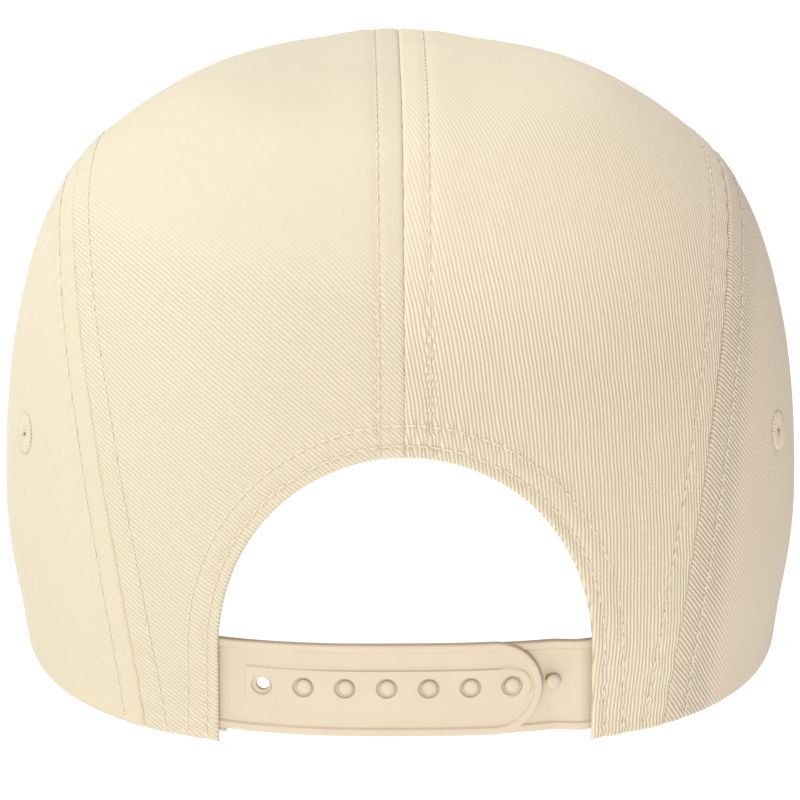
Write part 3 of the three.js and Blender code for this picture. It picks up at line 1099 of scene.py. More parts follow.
def close_wall(
    piece: bpy.types.Object,
    outer: Array,
    inner: Array,
    crease: float | None = None,
    stir: Array | None = None,
) -> None:
    """Gives an open sheet its thickness.

    Args:
        piece: The sheet, whose vertices know their place.
        outer: Where each place lies on the outer face.
        inner: Where each place lies on the inner face.
        crease: The angle past which an edge is shaded sharp, or none for soft edges everywhere.
        stir: How far the ribs are pushed aside at each place, or none for a piece without ribs.
    """
    bm = bmesh.new()
    bm.from_mesh(piece.data)
    stirred = bm.verts.layers.float.new(STIR_LAYER)
    layer = bm.verts.layers.int[PLACE_LAYER]
    sheet = list(bm.faces)
    made = bmesh.ops.extrude_face_region(bm, geom=sheet)["geom"]
    moved = {item for item in made if isinstance(item, bmesh.types.BMVert)}
    for vertex in bm.verts:
        number = vertex[layer]
        vertex.co = (outer if vertex in moved else inner)[number]
        vertex[stirred] = 0.0 if stir is None else stir[number]
    bmesh.ops.remove_doubles(bm, verts=bm.verts, dist=1e-6)
    bmesh.ops.recalc_face_normals(bm, faces=bm.faces)
    for face in bm.faces:
        face.smooth = True
    for edge in bm.edges:
        if crease is not None and edge.calc_face_angle(0.0) > crease:
            edge.smooth = False
    bm.verts.layers.int.remove(layer)
    bm.to_mesh(piece.data)
    bm.free()


def flat_size(piece: bpy.types.Object) -> tuple[float, float]:
    """The width and length of the rectangle that a flattened piece was cut from."""
    flat = np.empty(len(piece.data.loops) * 2)
    piece.data.uv_layers[WEAVE_MAP].data.foreach_get("uv", flat)
    width, length = np.ptp(flat.reshape(-1, 2), axis=0)
    return float(width), float(length)


def flat_area(piece: bpy.types.Object) -> float:
    """Half the area of a thin closed piece, which is the area of its cloth."""
    width, length = flat_size(piece)
    area = sum(polygon.area for polygon in piece.data.polygons) / 2
    return min(area, width * length)


# Stitching


def stitch_row(line: Array, normals: Array, lift: Array | float) -> tuple[Array, Array, Array]:
    """Spaces stitches evenly along a line.

    Args:
        line: The points of the line.
        normals: The outward direction at each point.
        lift: How far over each point the thread lies.

    Returns:
        The stitches' places, directions and outward directions.
    """
    raised = line + normals * np.broadcast_to(lift, len(line))[:, None]
    length = run_length(line)
    count = max(int(length[-1] / Stitching.pitch), 1)
    middles = (np.arange(count) + 0.5) * length[-1] / count

    def at(values: Array) -> Array:
        """Values at the stitches' middles."""
        return np.stack([np.interp(middles, length, values[:, axis]) for axis in range(3)], axis=-1)

    return at(raised), unit(at(np.gradient(line, axis=0))), unit(at(normals))


@dataclass
class Stitching:
    """Rows of lockstitches as one piece of thread.

    Attributes:
        name: The piece's name.
        rows: The places, directions and outward directions of each row's stitches.
        length: The length of thread that shows between two needle holes.
    """

    name: str
    rows: list[tuple[Array, Array, Array]]
    length: float = 2.15 * MM
    width: float = 0.44 * MM
    thickness: float = 0.36 * MM
    pitch = 2.6 * MM

    def build(self, material: bpy.types.Material) -> bpy.types.Object:
        """Builds every stitch and dresses the piece."""
        bm = bmesh.new()
        for row in self.rows:
            mesh = self._row(*row)
            bm.from_mesh(mesh)
            bpy.data.meshes.remove(mesh)
        piece = to_object(bm, self.name)
        piece.data.materials.append(material)
        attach(piece, BODY)
        LOG.info("%s: %d faces", piece.name, len(piece.data.polygons))
        return piece

    def _row(self, spots: Array, ahead: Array, outward: Array) -> bpy.types.Mesh:
        """Sews one row, so that each stitch is added to a small mesh."""
        bm = bmesh.new()
        for spot, way, normal in zip(spots, ahead, outward):
            self._stitch(bm, Vector(spot), Vector(way), Vector(normal))
        for face in bm.faces:
            face.smooth = True
        mesh = bpy.data.meshes.new("row")
        bm.to_mesh(mesh)
        bm.free()
        return mesh

    def _stitch(self, bm: bmesh.types.BMesh, spot: Vector, way: Vector, normal: Vector) -> None:
        """Lays one stitch, an oval bead of thread half sunk in the cloth."""
        side = normal.cross(way).normalized()
        way = side.cross(normal)
        turn = Matrix((way, side, normal)).transposed().to_4x4()
        size = Matrix.Diagonal((self.length / 2, self.width / 2, self.thickness / 2, 1))
        place = Matrix.Translation(spot) @ turn @ size @ Matrix.Rotation(math.pi / 2, 4, "Y")
        bmesh.ops.create_uvsphere(bm, u_segments=6, v_segments=6, radius=1.0, matrix=place)


# The peak, the sweatband and the eyelets


@dataclass
class Peak:
    """The stiff peak, covered in twill and sewn in rows.

    Attributes:
        crown: The crown that it is sewn to.
        length: How far it reaches past the crown.
    """

    crown: Crown
    length: float
    droop: float = 6 * MM
    thickness: float = 3 * MM
    squareness: float = 2.5
    columns: int = 200
    lines: int = 72
    edge: float = 1.6 * MM
    stitch_pull: float = 0.3 * MM
    stitch_pull_width: float = 0.9 * MM
    first_row: float = 4 * MM
    row_pitch: float = 6.5 * MM
    row_count: int = 6
    row_end: float = 2 * MM

    @property
    def rows(self) -> list[float]:
        """The distance of each stitch row from the outer edge."""
        return [self.first_row + index * self.row_pitch for index in range(self.row_count)]

    def lay(self, u: Array, v: Array) -> tuple[Array, Array]:
        """The peak's top face and the height of its under face.

        Args:
            u: Shares of the way from its left end to its right.
            v: Shares of the way out from the crown.

        Returns:
            The points of the top face, and the under face's heights.
        """
        crown = self.crown
        angle = math.pi - crown.peak_end + (2 * crown.peak_end - math.pi) * u
        rim = crown.rim(angle)
        level = crown.normal(rim) * [1, 1, 0]
        inner = crown.point(rim) - unit(level) * crown.wall
        end = crown.point(polar(np.array(crown.peak_end), 1.0))[1]
        front = crown.front_reach + self.length - crown.middle
        turn = math.pi * (1 - u)
        cos, sin = np.cos(turn), np.sin(turn)
        spread = (np.abs(cos) ** self.squareness + np.abs(sin) ** self.squareness) ** (-1 / self.squareness)
        x = crown.peak_half_width * spread * cos
        y = end + (front - end) * spread * sin
        points = inner + (np.stack([x, y, 0 * x], axis=-1) - inner) * v[..., None]
        start_share = np.abs(crown.peak_share(angle))
        width_share = start_share + (np.abs(spread * cos) - start_share) * v
        rise = (crown.peak_rise - self.droop * v) * (1 - width_share**2)
        points[..., 2] = crown.peak_end_thickness + rise
        return points, np.maximum(points[..., 2] - self.thickness, 0)

    def _row(self, distance: float, count: int = 600) -> Array:
        """A line of the top face at a distance inside the outer edge."""
        shares = np.linspace(0, 1, count)
        outer, _ = self.lay(shares, np.ones(count))
        inner, _ = self.lay(shares, np.zeros(count))
        ahead = unit(np.gradient(outer, axis=0)) * [1, 1, 0]
        inward = np.stack([ahead[:, 1], -ahead[:, 0], 0 * ahead[:, 0]], axis=-1)
        reach = ((inner - outer) * inward).sum(axis=1)
        line, _ = self.lay(shares, 1 - distance / np.maximum(reach, distance))
        return line[reach > distance + self.row_end]

    def build(self, finish: Twill) -> bpy.types.Object:
        """Builds the peak and dresses it."""
        shares = crowded(self.columns, 0.5), crowded(self.lines, 0.8)
        u, v = (axis.ravel() for axis in np.meshgrid(*shares))
        top, low = self.lay(u, v)
        edge, _ = self.lay(np.linspace(0, 1, ROW_SPOTS), np.ones(ROW_SPOTS))
        distance, _ = nearest(top, edge)
        half = (top[:, 2] - low) / 2
        middle = (top[:, 2] + low) / 2
        full = half * bulge(distance, self.edge)
        pull = np.zeros(len(top))
        for row in self.rows:
            away, _ = nearest(top, self._row(row))
            pull += self.stitch_pull * bell(away, self.stitch_pull_width)
        upper, lower = top.copy(), top.copy()
        upper[:, 2] = middle + full - pull
        lower[:, 2] = np.maximum(middle - full + pull * (low > 0), 0)
        bm = bmesh.new()
        layer = grid(bm, self.columns, self.lines)
        place(bm, layer, top)
        piece = to_object(bm, "cloth_peak")
        middle_point = self.lay(np.array([0.5]), np.array([0.5]))[0][0]
        flatten(piece, middle_point, np.array([0.0, 0.0, 1.0]))
        close_wall(piece, upper, lower)
        piece.data.materials.append(finish.material())
        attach(piece, BODY)
        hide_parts("peak")
        return piece

    def stitches(self) -> list[tuple[Array, Array, Array]]:
        """The places, directions and outward directions of the stitches on the top face."""
        rows = []
        for row in self.rows:
            line = self._row(row)
            rows.append(stitch_row(line, np.tile([0.0, 0.0, 1.0], (len(line), 1)), -0.4 * self.stitch_pull))
        return rows


@dataclass
class Sweatband:
    """The folded cotton band round the inside of the rim.

    Attributes:
        crown: The crown that it lines.
        foot: How far from the middle of the back each of its ends lies.
        clear: How far from the middle of the back the straps end, which it covers.
    """

    crown: Crown
    foot: float
    clear: float
    depth: float = 1.7 * MM
    strap_room: float = 2.1 * MM
    ease: float = 14 * MM
    lift: float = 0.6 * MM
    height: float = 32 * MM
    thickness: float = 1.2 * MM
    columns: int = 360
    lines: int = 24
    hem: float = 4 * MM
    pull: float = 0.14 * MM
    pull_reach: float = 2 * MM
    ripples: int = 70
    toe: float = 2.2 * MM
    toe_top: tuple[float, float] = (0.05, 0.12)
    grain_spot: tuple[float, float] = (0.0, 0.95)

    def _lay(self, u: Array, v: Array) -> tuple[Array, Array]:
        """Chart points and the depths of the outer face. The ends' lower corners reach into the arch."""
        foot, toe = (
            chart_angle(self.crown.back_chart(reach, np.zeros(1))[0])
            for reach in (self.foot, self.foot - self.toe)
        )
        start = toe + (foot - toe) * smooth(v, *self.toe_top)
        angle = start + (math.pi - 2 * start) * u
        height = self.crown.rim_height(angle) + self.lift + v * self.height
        places = polar(angle, self.crown.reach_at(height))
        x, y, _ = np.moveaxis(self.crown.point(places), -1, 0)
        eased = np.where(y > -self.crown.middle, 1.0, smooth(np.abs(x), self.clear, self.clear + self.ease))
        return places, self.depth + (1 - eased) * self.strap_room

    def build(self) -> bpy.types.Object:
        """Builds the band and dresses it."""
        shares = np.linspace(0, 1, self.columns + 1), crowded(self.lines)
        u, v = (axis.ravel() for axis in np.meshgrid(*shares))
        places, depth = self._lay(u, v)
        edge = np.minimum(v, 1 - v) * self.height
        half = self.thickness / 2
        full = half * bulge(edge, half)
        near = np.exp(-np.abs(edge - self.hem) / self.pull_reach)
        ripple = self.pull * np.sin(math.tau * u * self.ripples) * near
        bm = bmesh.new()
        layer = grid(bm, self.columns, self.lines)
        place(bm, layer, self.crown.under(places, depth + half))
        piece = to_object(bm, "cloth_sweatband")
        spot = np.array(self.grain_spot)
        flatten(piece, self.crown.point(spot), self.crown.normal(spot))
        outer = self.crown.under(places, depth + half - full + np.abs(ripple))
        inner = self.crown.under(places, depth + half + full - ripple)
        close_wall(piece, outer, inner)
        tape = PlainWeave("sweatband cotton", colour=(0.66, 0.63, 0.58), shade=(0.42, 0.40, 0.37))
        piece.data.materials.append(tape.material())
        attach(piece, BODY)
        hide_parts("sweatband")
        way = self.crown.point(self._lay(np.linspace(0, 1, ROW_SPOTS), np.full(ROW_SPOTS, 0.5))[0])
        return piece


@dataclass
class Eyelet:
    """A round sewn with buttonhole stitch.

    Attributes:
        node: The solid that it replaces.
        crown: The crown that it lies on.
        place: The chart point of its middle.
    """

    node: str
    crown: Crown
    place: tuple[float, float]
    hole: float = 0.42 * MM
    radius: float = 4.5 * MM
    thickness: float = 0.7 * MM
    sunk: float = 0.23 * MM
    turns: int = 30
    steps_per_turn: int = 5
    section_sides: int = 10
    ridge: float = 0.24

    def build(self, material: bpy.types.Material) -> bpy.types.Object:
        """Builds the ring and dresses it."""
        half = (self.radius - self.hole) / 2
        bm = bmesh.new()
        ring = bmesh.ops.create_circle(bm, segments=self.section_sides, radius=1.0)["verts"]
        for vertex in ring:
            across = self.hole + half * (1 + vertex.co.x)
            vertex.co = Vector((across, 0.0, vertex.co.y * self.thickness / 2))
        bmesh.ops.spin(
            bm,
            geom=[*bm.verts, *bm.edges],
            axis=(0, 0, 1),
            cent=(0, 0, 0),
            angle=math.tau,
            steps=self.turns * self.steps_per_turn,
            use_merge=True,
        )
        bmesh.ops.remove_doubles(bm, verts=bm.verts, dist=1e-6)
        for vertex in bm.verts:
            angle = math.atan2(vertex.co.y, vertex.co.x)
            core = Vector((math.cos(angle), math.sin(angle), 0)) * (self.hole + half)
            swell = 1 - self.ridge * (0.5 - 0.5 * math.cos(angle * self.turns))
            uneven = 1 + 0.05 * math.sin(angle * 3 + self.place[1] * 9) + 0.03 * math.sin(angle * 11)
            vertex.co = core + (vertex.co - core) * swell * uneven
        bmesh.ops.recalc_face_normals(bm, faces=bm.faces)
        middle = Vector(self.crown.under(np.array(self.place), np.array(self.sunk)))
        outward = Vector(self.crown.normal(np.array(self.place)))
        turn = outward.to_track_quat("Z", "Y").to_matrix().to_4x4()
        bmesh.ops.transform(bm, matrix=Matrix.Translation(middle) @ turn, verts=bm.verts)
        for face in bm.faces:
            face.smooth = True
        piece = to_object(bm, f"ring_{self.node}")
        piece.data.materials.append(material)
        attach(piece, BODY)
        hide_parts(self.node)
        return piece


# The snap strap


@dataclass
class Strap:
    """A moulded strap that follows the back of the crown, with a raised border.

    Attributes:
        node: The solid that it replaces.
        crown: The crown that it follows.
        start: The distance of its tucked end from the middle of the back.
        tip: The distance of its other end.
        depth: How deep its face lies under the cloth's face.
    """

    node: str
    crown: Crown
    start: float
    tip: float
    depth: float = 1.7 * MM
    height: float = 20.8 * MM
    taper: float = 0.05
    lift: float = 2.1 * MM
    plate: float = 1.3 * MM
    border: float = 1.75 * MM
    border_rise: float = 0.55 * MM
    border_slope: float = 0.2 * MM
    edge: float = 0.5 * MM
    step: float = 0.5 * MM

    @property
    def middle(self) -> float:
        """The height of its middle line."""
        return self.lift + self.height / 2

    def half_height(self, x: Array) -> Array:
        """Half the strap's height, which narrows towards the tucked end."""
        return self.height / 2 * (1 - self.taper * np.clip(x / self.start, 0, 1) ** 2)

    def stations(self) -> tuple[Array, Array]:
        """The distance from the middle of the back and the half height at each column."""
        inward = math.copysign(1, self.start - self.tip)
        across = filled([self.start, *(self.tip + inward * mark for mark in self.edge_marks())], self.step)
        return across, self.half_height(across)

    def edge_marks(self) -> list[float]:
        """The distances from an edge where the border bends."""
        rounding = [self.edge * share for share in (0, 0.1, 0.3, 0.6, 1)]
        return [*rounding, *(self.border + self.border_slope * turn for turn in (-1, -0.4, 0.4, 1))]

    def levels(self) -> Array:
        """The heights over the middle line where the face bends, as shares of the half height."""
        half = self.height / 2
        marks = [half - mark for mark in self.edge_marks()]
        return filled([sign * mark for mark in [0, *marks] for sign in (-1, 1)], self.step) / half

    def edge_distance(self, x: Array, z: Array) -> Array:
        """How far inside the outline a spot lies."""
        return np.minimum(self.half_height(x) - np.abs(z), np.abs(x - self.tip))

    def sink(self, x: Array) -> Array:
        """How much deeper the whole strap lies."""
        return np.zeros_like(x)

    def relief(self, x: Array, z: Array) -> Array:
        """How deep the face lies under the top of its border.

        Args:
            x: Distances from the middle of the back.
            z: Heights over the middle line.

        Returns:
            The depth at each spot.
        """
        distance = self.edge_distance(x, z)
        field_depth = smooth(distance, self.border - self.border_slope, self.border + self.border_slope)
        return self.border_rise * field_depth + self.edge * (1 - bulge(distance, self.edge))

    def settle(self, x: Array) -> Array:
        """How much lower than its middle line the strap hangs."""
        return np.zeros_like(x)

    def holes(self) -> list[float]:
        """The distance of each hole from the middle of the back."""
        return []

    def draw_round(self, x: Array, z: Array) -> tuple[Array, Array]:
        """Bends the grid of spots into rings about each hole."""
        return x, z

    def open_holes(self, bm: bmesh.types.BMesh) -> None:
        """Opens the holes in the flat grid."""

    def add_parts(self, bm: bmesh.types.BMesh) -> None:
        """Adds what stands on the strap."""

    def build(self, material: bpy.types.Material) -> bpy.types.Object:
        """Builds the strap and dresses it."""
        across, half = self.stations()
        x, share = (axis.ravel() for axis in np.meshgrid(across, self.levels()))
        x, z = self.draw_round(x, share * np.tile(half, len(self.levels())))
        bm = bmesh.new()
        layer = grid(bm, len(across) - 1, len(self.levels()) - 1)
        place(bm, layer, np.stack([x, 0 * x, z], axis=-1))
        self.open_holes(bm)
        places = self.crown.back_chart(x, self.middle - self.settle(x) + z)
        depth = self.depth + self.sink(x)
        piece = to_object(bm, f"plastic_{self.node}")
        outer = self.crown.under(places, depth + self.relief(x, z))
        inner = self.crown.under(places, depth + self.border_rise + self.plate)
        close_wall(piece, outer, inner, crease=math.radians(48))
        bm = bmesh.new()
        bm.from_mesh(piece.data)
        self.add_parts(bm)
        bm.to_mesh(piece.data)
        bm.free()
        piece.data.materials.append(material)
        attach(piece, BODY)
        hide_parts(self.node)
        LOG.info("%s: %d faces", piece.name, len(piece.data.polygons))
        return piece


@dataclass
class HoleStrap(Strap):
    """The upper strap: a raised middle with a row of sunk holes, and a round end."""

    hole_count: int = 7
    hole_pitch: float = 8.87 * MM
    first_hole: float = -30.6 * MM
    hole_radius: float = 1.45 * MM
    recess_radius: float = 2.2 * MM
    recess_slope: float = 0.12 * MM
    recess_depth: float = 0.62 * MM
    recess_fall: float = 0.25 * MM
    row_rise: float = 0.6 * MM
    ring_middle: float = 2.7 * MM
    ring_end: float = 3.2 * MM
    plateau_half: float = 4 * MM
    plateau_rise: float = 0.46 * MM
    plateau_start: float = -34 * MM
    plateau_tip: float = 26.8 * MM
    plateau_slope: float = 0.08 * MM
    end_steps: int = 48

    @property
    def end_centre(self) -> float:
        """The centre of the round end."""
        return self.tip - self.height / 2

    def rings(self) -> list[float]:
        """The distances from a hole's middle where its form bends."""
        slope = self.recess_slope
        steps = [self.recess_radius + slope * turn for turn in (-1, -0.5, 0, 0.5, 1)]
        bore = [self.hole_radius / 2, self.hole_radius, self.hole_radius + slope]
        return [*bore, *steps, self.ring_middle, self.ring_end]

    def stations(self) -> tuple[Array, Array]:
        """Columns through the rings of each hole, then columns round the end."""
        half = self.height / 2
        plateau = [self.plateau_start + self.plateau_slope * turn for turn in (-1, 0, 1)]
        rings = [sign * ring for ring in (0, *self.rings()) for sign in (-1, 1)]
        marks = [self.start, self.end_centre, *plateau]
        marks += [hole + ring for hole in self.holes() for ring in rings]
        straight = filled([mark for mark in marks if mark <= self.end_centre], self.step)
        past = [mark for mark in marks if mark > self.end_centre]
        turns = np.linspace(0, math.pi / 2, self.end_steps + 1)[1:]
        curved = np.sort(np.concatenate([self.end_centre + half * np.sin(turns), past]))
        reach = np.clip((curved - self.end_centre) / half, 0, 1)
        halves = np.concatenate([self.half_height(straight), half * np.sqrt(1 - reach**2)])
        return np.concatenate([straight, curved]), halves

    def levels(self) -> Array:
        """Rows through the rings and along the raised middle's edges."""
        half = self.height / 2
        rises = [self.plateau_half + self.plateau_slope * turn for turn in (-1, 0, 1)]
        row = [self.row_rise + sign * mark for mark in (0, *self.rings(), *rises) for sign in (-1, 1)]
        border = [sign * (half - mark) for mark in self.edge_marks() for sign in (-1, 1)]
        return filled([*row, *border], self.step) / half

    def edge_distance(self, x: Array, z: Array) -> Array:
        """How far inside the outline a spot lies."""
        return self.half_height(x) - np.hypot(np.maximum(x - self.end_centre, 0), z)

    def relief(self, x: Array, z: Array) -> Array:
        """The border, the raised middle and the recess round each hole."""
        depth = super().relief(x, z)
        z = z - self.row_rise
        centre = self.plateau_tip - self.plateau_half
        past = np.maximum(x - centre, 0)
        inside = np.minimum(self.plateau_half - np.hypot(past, z), x - self.plateau_start)
        depth -= self.plateau_rise * smooth(inside, -self.plateau_slope, self.plateau_slope)
        low, high = self.recess_radius - self.recess_slope, self.recess_radius + self.recess_slope
        for hole in self.holes():
            distance = np.hypot(x - hole, z)
            depth += self.recess_depth * (1 - smooth(distance, low, high))
            depth += self.recess_fall * (1 - smooth(distance, self.hole_radius, low))
        return depth

    def holes(self) -> list[float]:
        """The row of holes."""
        return [self.first_hole + index * self.hole_pitch for index in range(self.hole_count)]

    def draw_round(self, x: Array, z: Array) -> tuple[Array, Array]:
        """Bends the squares of the grid about each hole into rings."""
        x, z = x.copy(), z - self.row_rise
        for hole in self.holes():
            across = x - hole
            square = np.maximum(np.abs(across), np.abs(z))
            near = 1 - smooth(square, self.recess_radius + self.recess_slope, self.ring_end)
            bend = 1 + (square / np.maximum(np.hypot(across, z), 1e-9) - 1) * near
            x = hole + across * bend
            z = z * bend
        return x, z + self.row_rise

    def open_holes(self, bm: bmesh.types.BMesh) -> None:
        """Opens the innermost rings."""
        for hole in self.holes():
            centre = Vector((hole, 0, self.row_rise))
            inside = faces_near(bm, centre, self.hole_radius)
            bmesh.ops.delete(bm, geom=inside, context="FACES")


@dataclass
class PinStrap(Strap):
    """The strap beneath: it steps down behind the upper strap, and pins stand on it."""

    drop: float = 2.1 * MM
    hang: float = 0.8 * MM
    step_start: float = 31.5 * MM
    step_end: float = 38.5 * MM
    pins: tuple[float, ...] = ()
    pin_rise: float = 0.0
    pin_top: float = 0.3 * MM
    pin_stem: float = 1.15 * MM
    pin_head: float = 1.6 * MM
    pin_sides: int = 20
    mark: float = 35.7 * MM
    mark_radius: float = 1.6 * MM
    mark_width: float = 0.35 * MM
    mark_depth: float = 0.07 * MM

    def _sunk(self, x: Array) -> Array:
        """The share of the step down behind the upper strap."""
        return 1 - smooth(x, self.step_start, self.step_end)

    def sink(self, x: Array) -> Array:
        """The step down behind the upper strap."""
        return self.drop * self._sunk(x)

    def settle(self, x: Array) -> Array:
        """The strap hangs a little lower than the one that covers it."""
        return np.full_like(x, self.hang)

    def relief(self, x: Array, z: Array) -> Array:
        """The border, and a faint round mark of the mould."""
        distance = np.abs(np.hypot(x - self.mark, z) - self.mark_radius)
        return super().relief(x, z) + self.mark_depth * bell(distance, self.mark_width)

    def add_parts(self, bm: bmesh.types.BMesh) -> None:
        """Stands the pins on the strap, each a stem with a domed head."""
        face = self.depth + self.border_rise + self.plate / 2
        for x in self.pins:
            place_on = self.crown.back_chart(np.array(x), np.array(self.middle + self.pin_rise))
            outward = Vector(self.crown.normal(place_on))
            top = Vector(self.crown.under(place_on, np.array(self.depth - self.pin_top)))
            length = float(face + self.sink(np.array(x)) - self.depth + self.pin_top)
            profile = (
                (0.0, -length),
                (self.pin_stem, -length),
                (self.pin_stem, -1.05 * MM),
                (self.pin_head, -0.88 * MM),
                (self.pin_head, -0.66 * MM),
                (0.93 * self.pin_head, -0.42 * MM),
                (0.74 * self.pin_head, -0.19 * MM),
                (0.4 * self.pin_head, -0.04 * MM),
                (0.0, 0.0),
            )
            stand = Matrix.Translation(top) @ outward.to_track_quat("Z", "Y").to_matrix().to_4x4()
            pin = turned(profile, stand, self.pin_sides)
            bm.from_mesh(pin)
            bpy.data.meshes.remove(pin)


def turned(profile: Sequence[tuple[float, float]], place_at: Matrix, sides: int) -> bpy.types.Mesh:
    """Makes a turned shape.

    Args:
        profile: Its radius and height from the middle of its foot to the middle of its top.
        place_at: Where it stands.
        sides: The number of its sides.

    Returns:
        The closed mesh.
    """
    bm = bmesh.new()
    spots = [bm.verts.new((radius, 0.0, height)) for radius, height in profile]
    for pair in zip(spots[:-1], spots[1:]):
        bm.edges.new(pair)
    line = [*bm.verts, *bm.edges]
    bmesh.ops.spin(
        bm,
        geom=line,
        axis=(0, 0, 1),
        cent=(0, 0, 0),
        angle=math.tau,
        steps=sides,
        use_merge=True,
    )
    bmesh.ops.remove_doubles(bm, verts=bm.verts, dist=1e-6)
    bmesh.ops.recalc_face_normals(bm, faces=bm.faces)
    bmesh.ops.transform(bm, matrix=place_at, verts=bm.verts)
    for face in bm.faces:
        face.smooth = True
    mesh = bpy.data.meshes.new("turned")
    bm.to_mesh(mesh)
    bm.free()
    return mesh


# Camera, light and floor


@dataclass
class Studio:
    """The camera, the pale floor and the soft lights.

    Attributes:
        aim: The point that the camera looks at.
        distance: How far the camera stands from it.
        elevation: The camera's angle above the floor.
        turn: How far the camera is turned to the cap's left.
    """

    aim: Vector
    distance: float = 1.2
    elevation: float = math.radians(20)
    turn: float = math.radians(0.8)
    pixels_per_radian: float = 5410.0
    picture_width: float = 800.0
    sensor: float = 36.0

    def build(self) -> None:
        """Makes the camera, floor, lights and background."""
        self._camera()
        self._floor()
        self._lights()

    def _camera(self) -> None:
        """Stands the camera behind the cap, a little to its left."""
        data = bpy.data.cameras.new("camera")
        data.sensor_width = self.sensor
        data.lens = self.pixels_per_radian / self.picture_width * self.sensor
        data.clip_end = 20.0
        level = math.cos(self.elevation)
        away = Vector((-math.sin(self.turn) * level, -math.cos(self.turn) * level, math.sin(self.elevation)))
        camera = bpy.data.objects.new("camera", data)
        camera.location = self.aim + away * self.distance
        camera.rotation_euler = (-away).to_track_quat("-Z", "Y").to_euler()
        bpy.context.scene.collection.objects.link(camera)
        bpy.context.scene.camera = camera

    def _floor(self) -> None:
        """Lays a plain pale floor."""
        bm = bmesh.new()
        bmesh.ops.create_grid(bm, x_segments=1, y_segments=1, size=6.0)
        floor = to_object(bm, "floor")
        graph = Graph("floor")
        graph.set(
            Base_Color=(0.05, 0.05, 0.05),
            Roughness=0.9,
            Specular_IOR_Level=0.0,
            Emission_Color=(1.0, 1.0, 1.0),
            Emission_Strength=1.1,
        )
        floor.data.materials.append(graph.material)

    def _lights(self) -> None:
        """Hangs the soft lights and sets the background."""
        self._light("front", (-0.25, -2.1, 0.36), 0.5, 20.8, (0.98, 1.0, 0.92))
        self._light("above left", (-1.15, 0.25, 1.4), 0.8, 15.0, (0.86, 1.0, 0.97))
        self._light("top", (-0.35, 0.5, 1.7), 0.9, 11.0, (0.9, 1.0, 0.98))
        world = bpy.data.worlds.new("studio")
        world.use_nodes = True
        background = world.node_tree.nodes["Background"]
        background.inputs["Color"].default_value = (1.0, 0.88, 0.97, 1.0)
        background.inputs["Strength"].default_value = 0.62
        bpy.context.scene.world = world
        bpy.context.scene.view_settings.view_transform = "Standard"

    def _light(
        self,
        name: str,
        spot: tuple[float, float, float],
        size: float,
        power: float,
        colour: tuple[float, float, float],
    ) -> None:
        """Hangs one square light that faces the cap."""
        data = bpy.data.lights.new(name, "AREA")
        data.size = size
        data.energy = power
        data.color = colour
        light = bpy.data.objects.new(name, data)
        light.location = spot
        light.rotation_euler = (self.aim - Vector(spot)).to_track_quat("-Z", "Y").to_euler()
        bpy.context.scene.collection.objects.link(light)


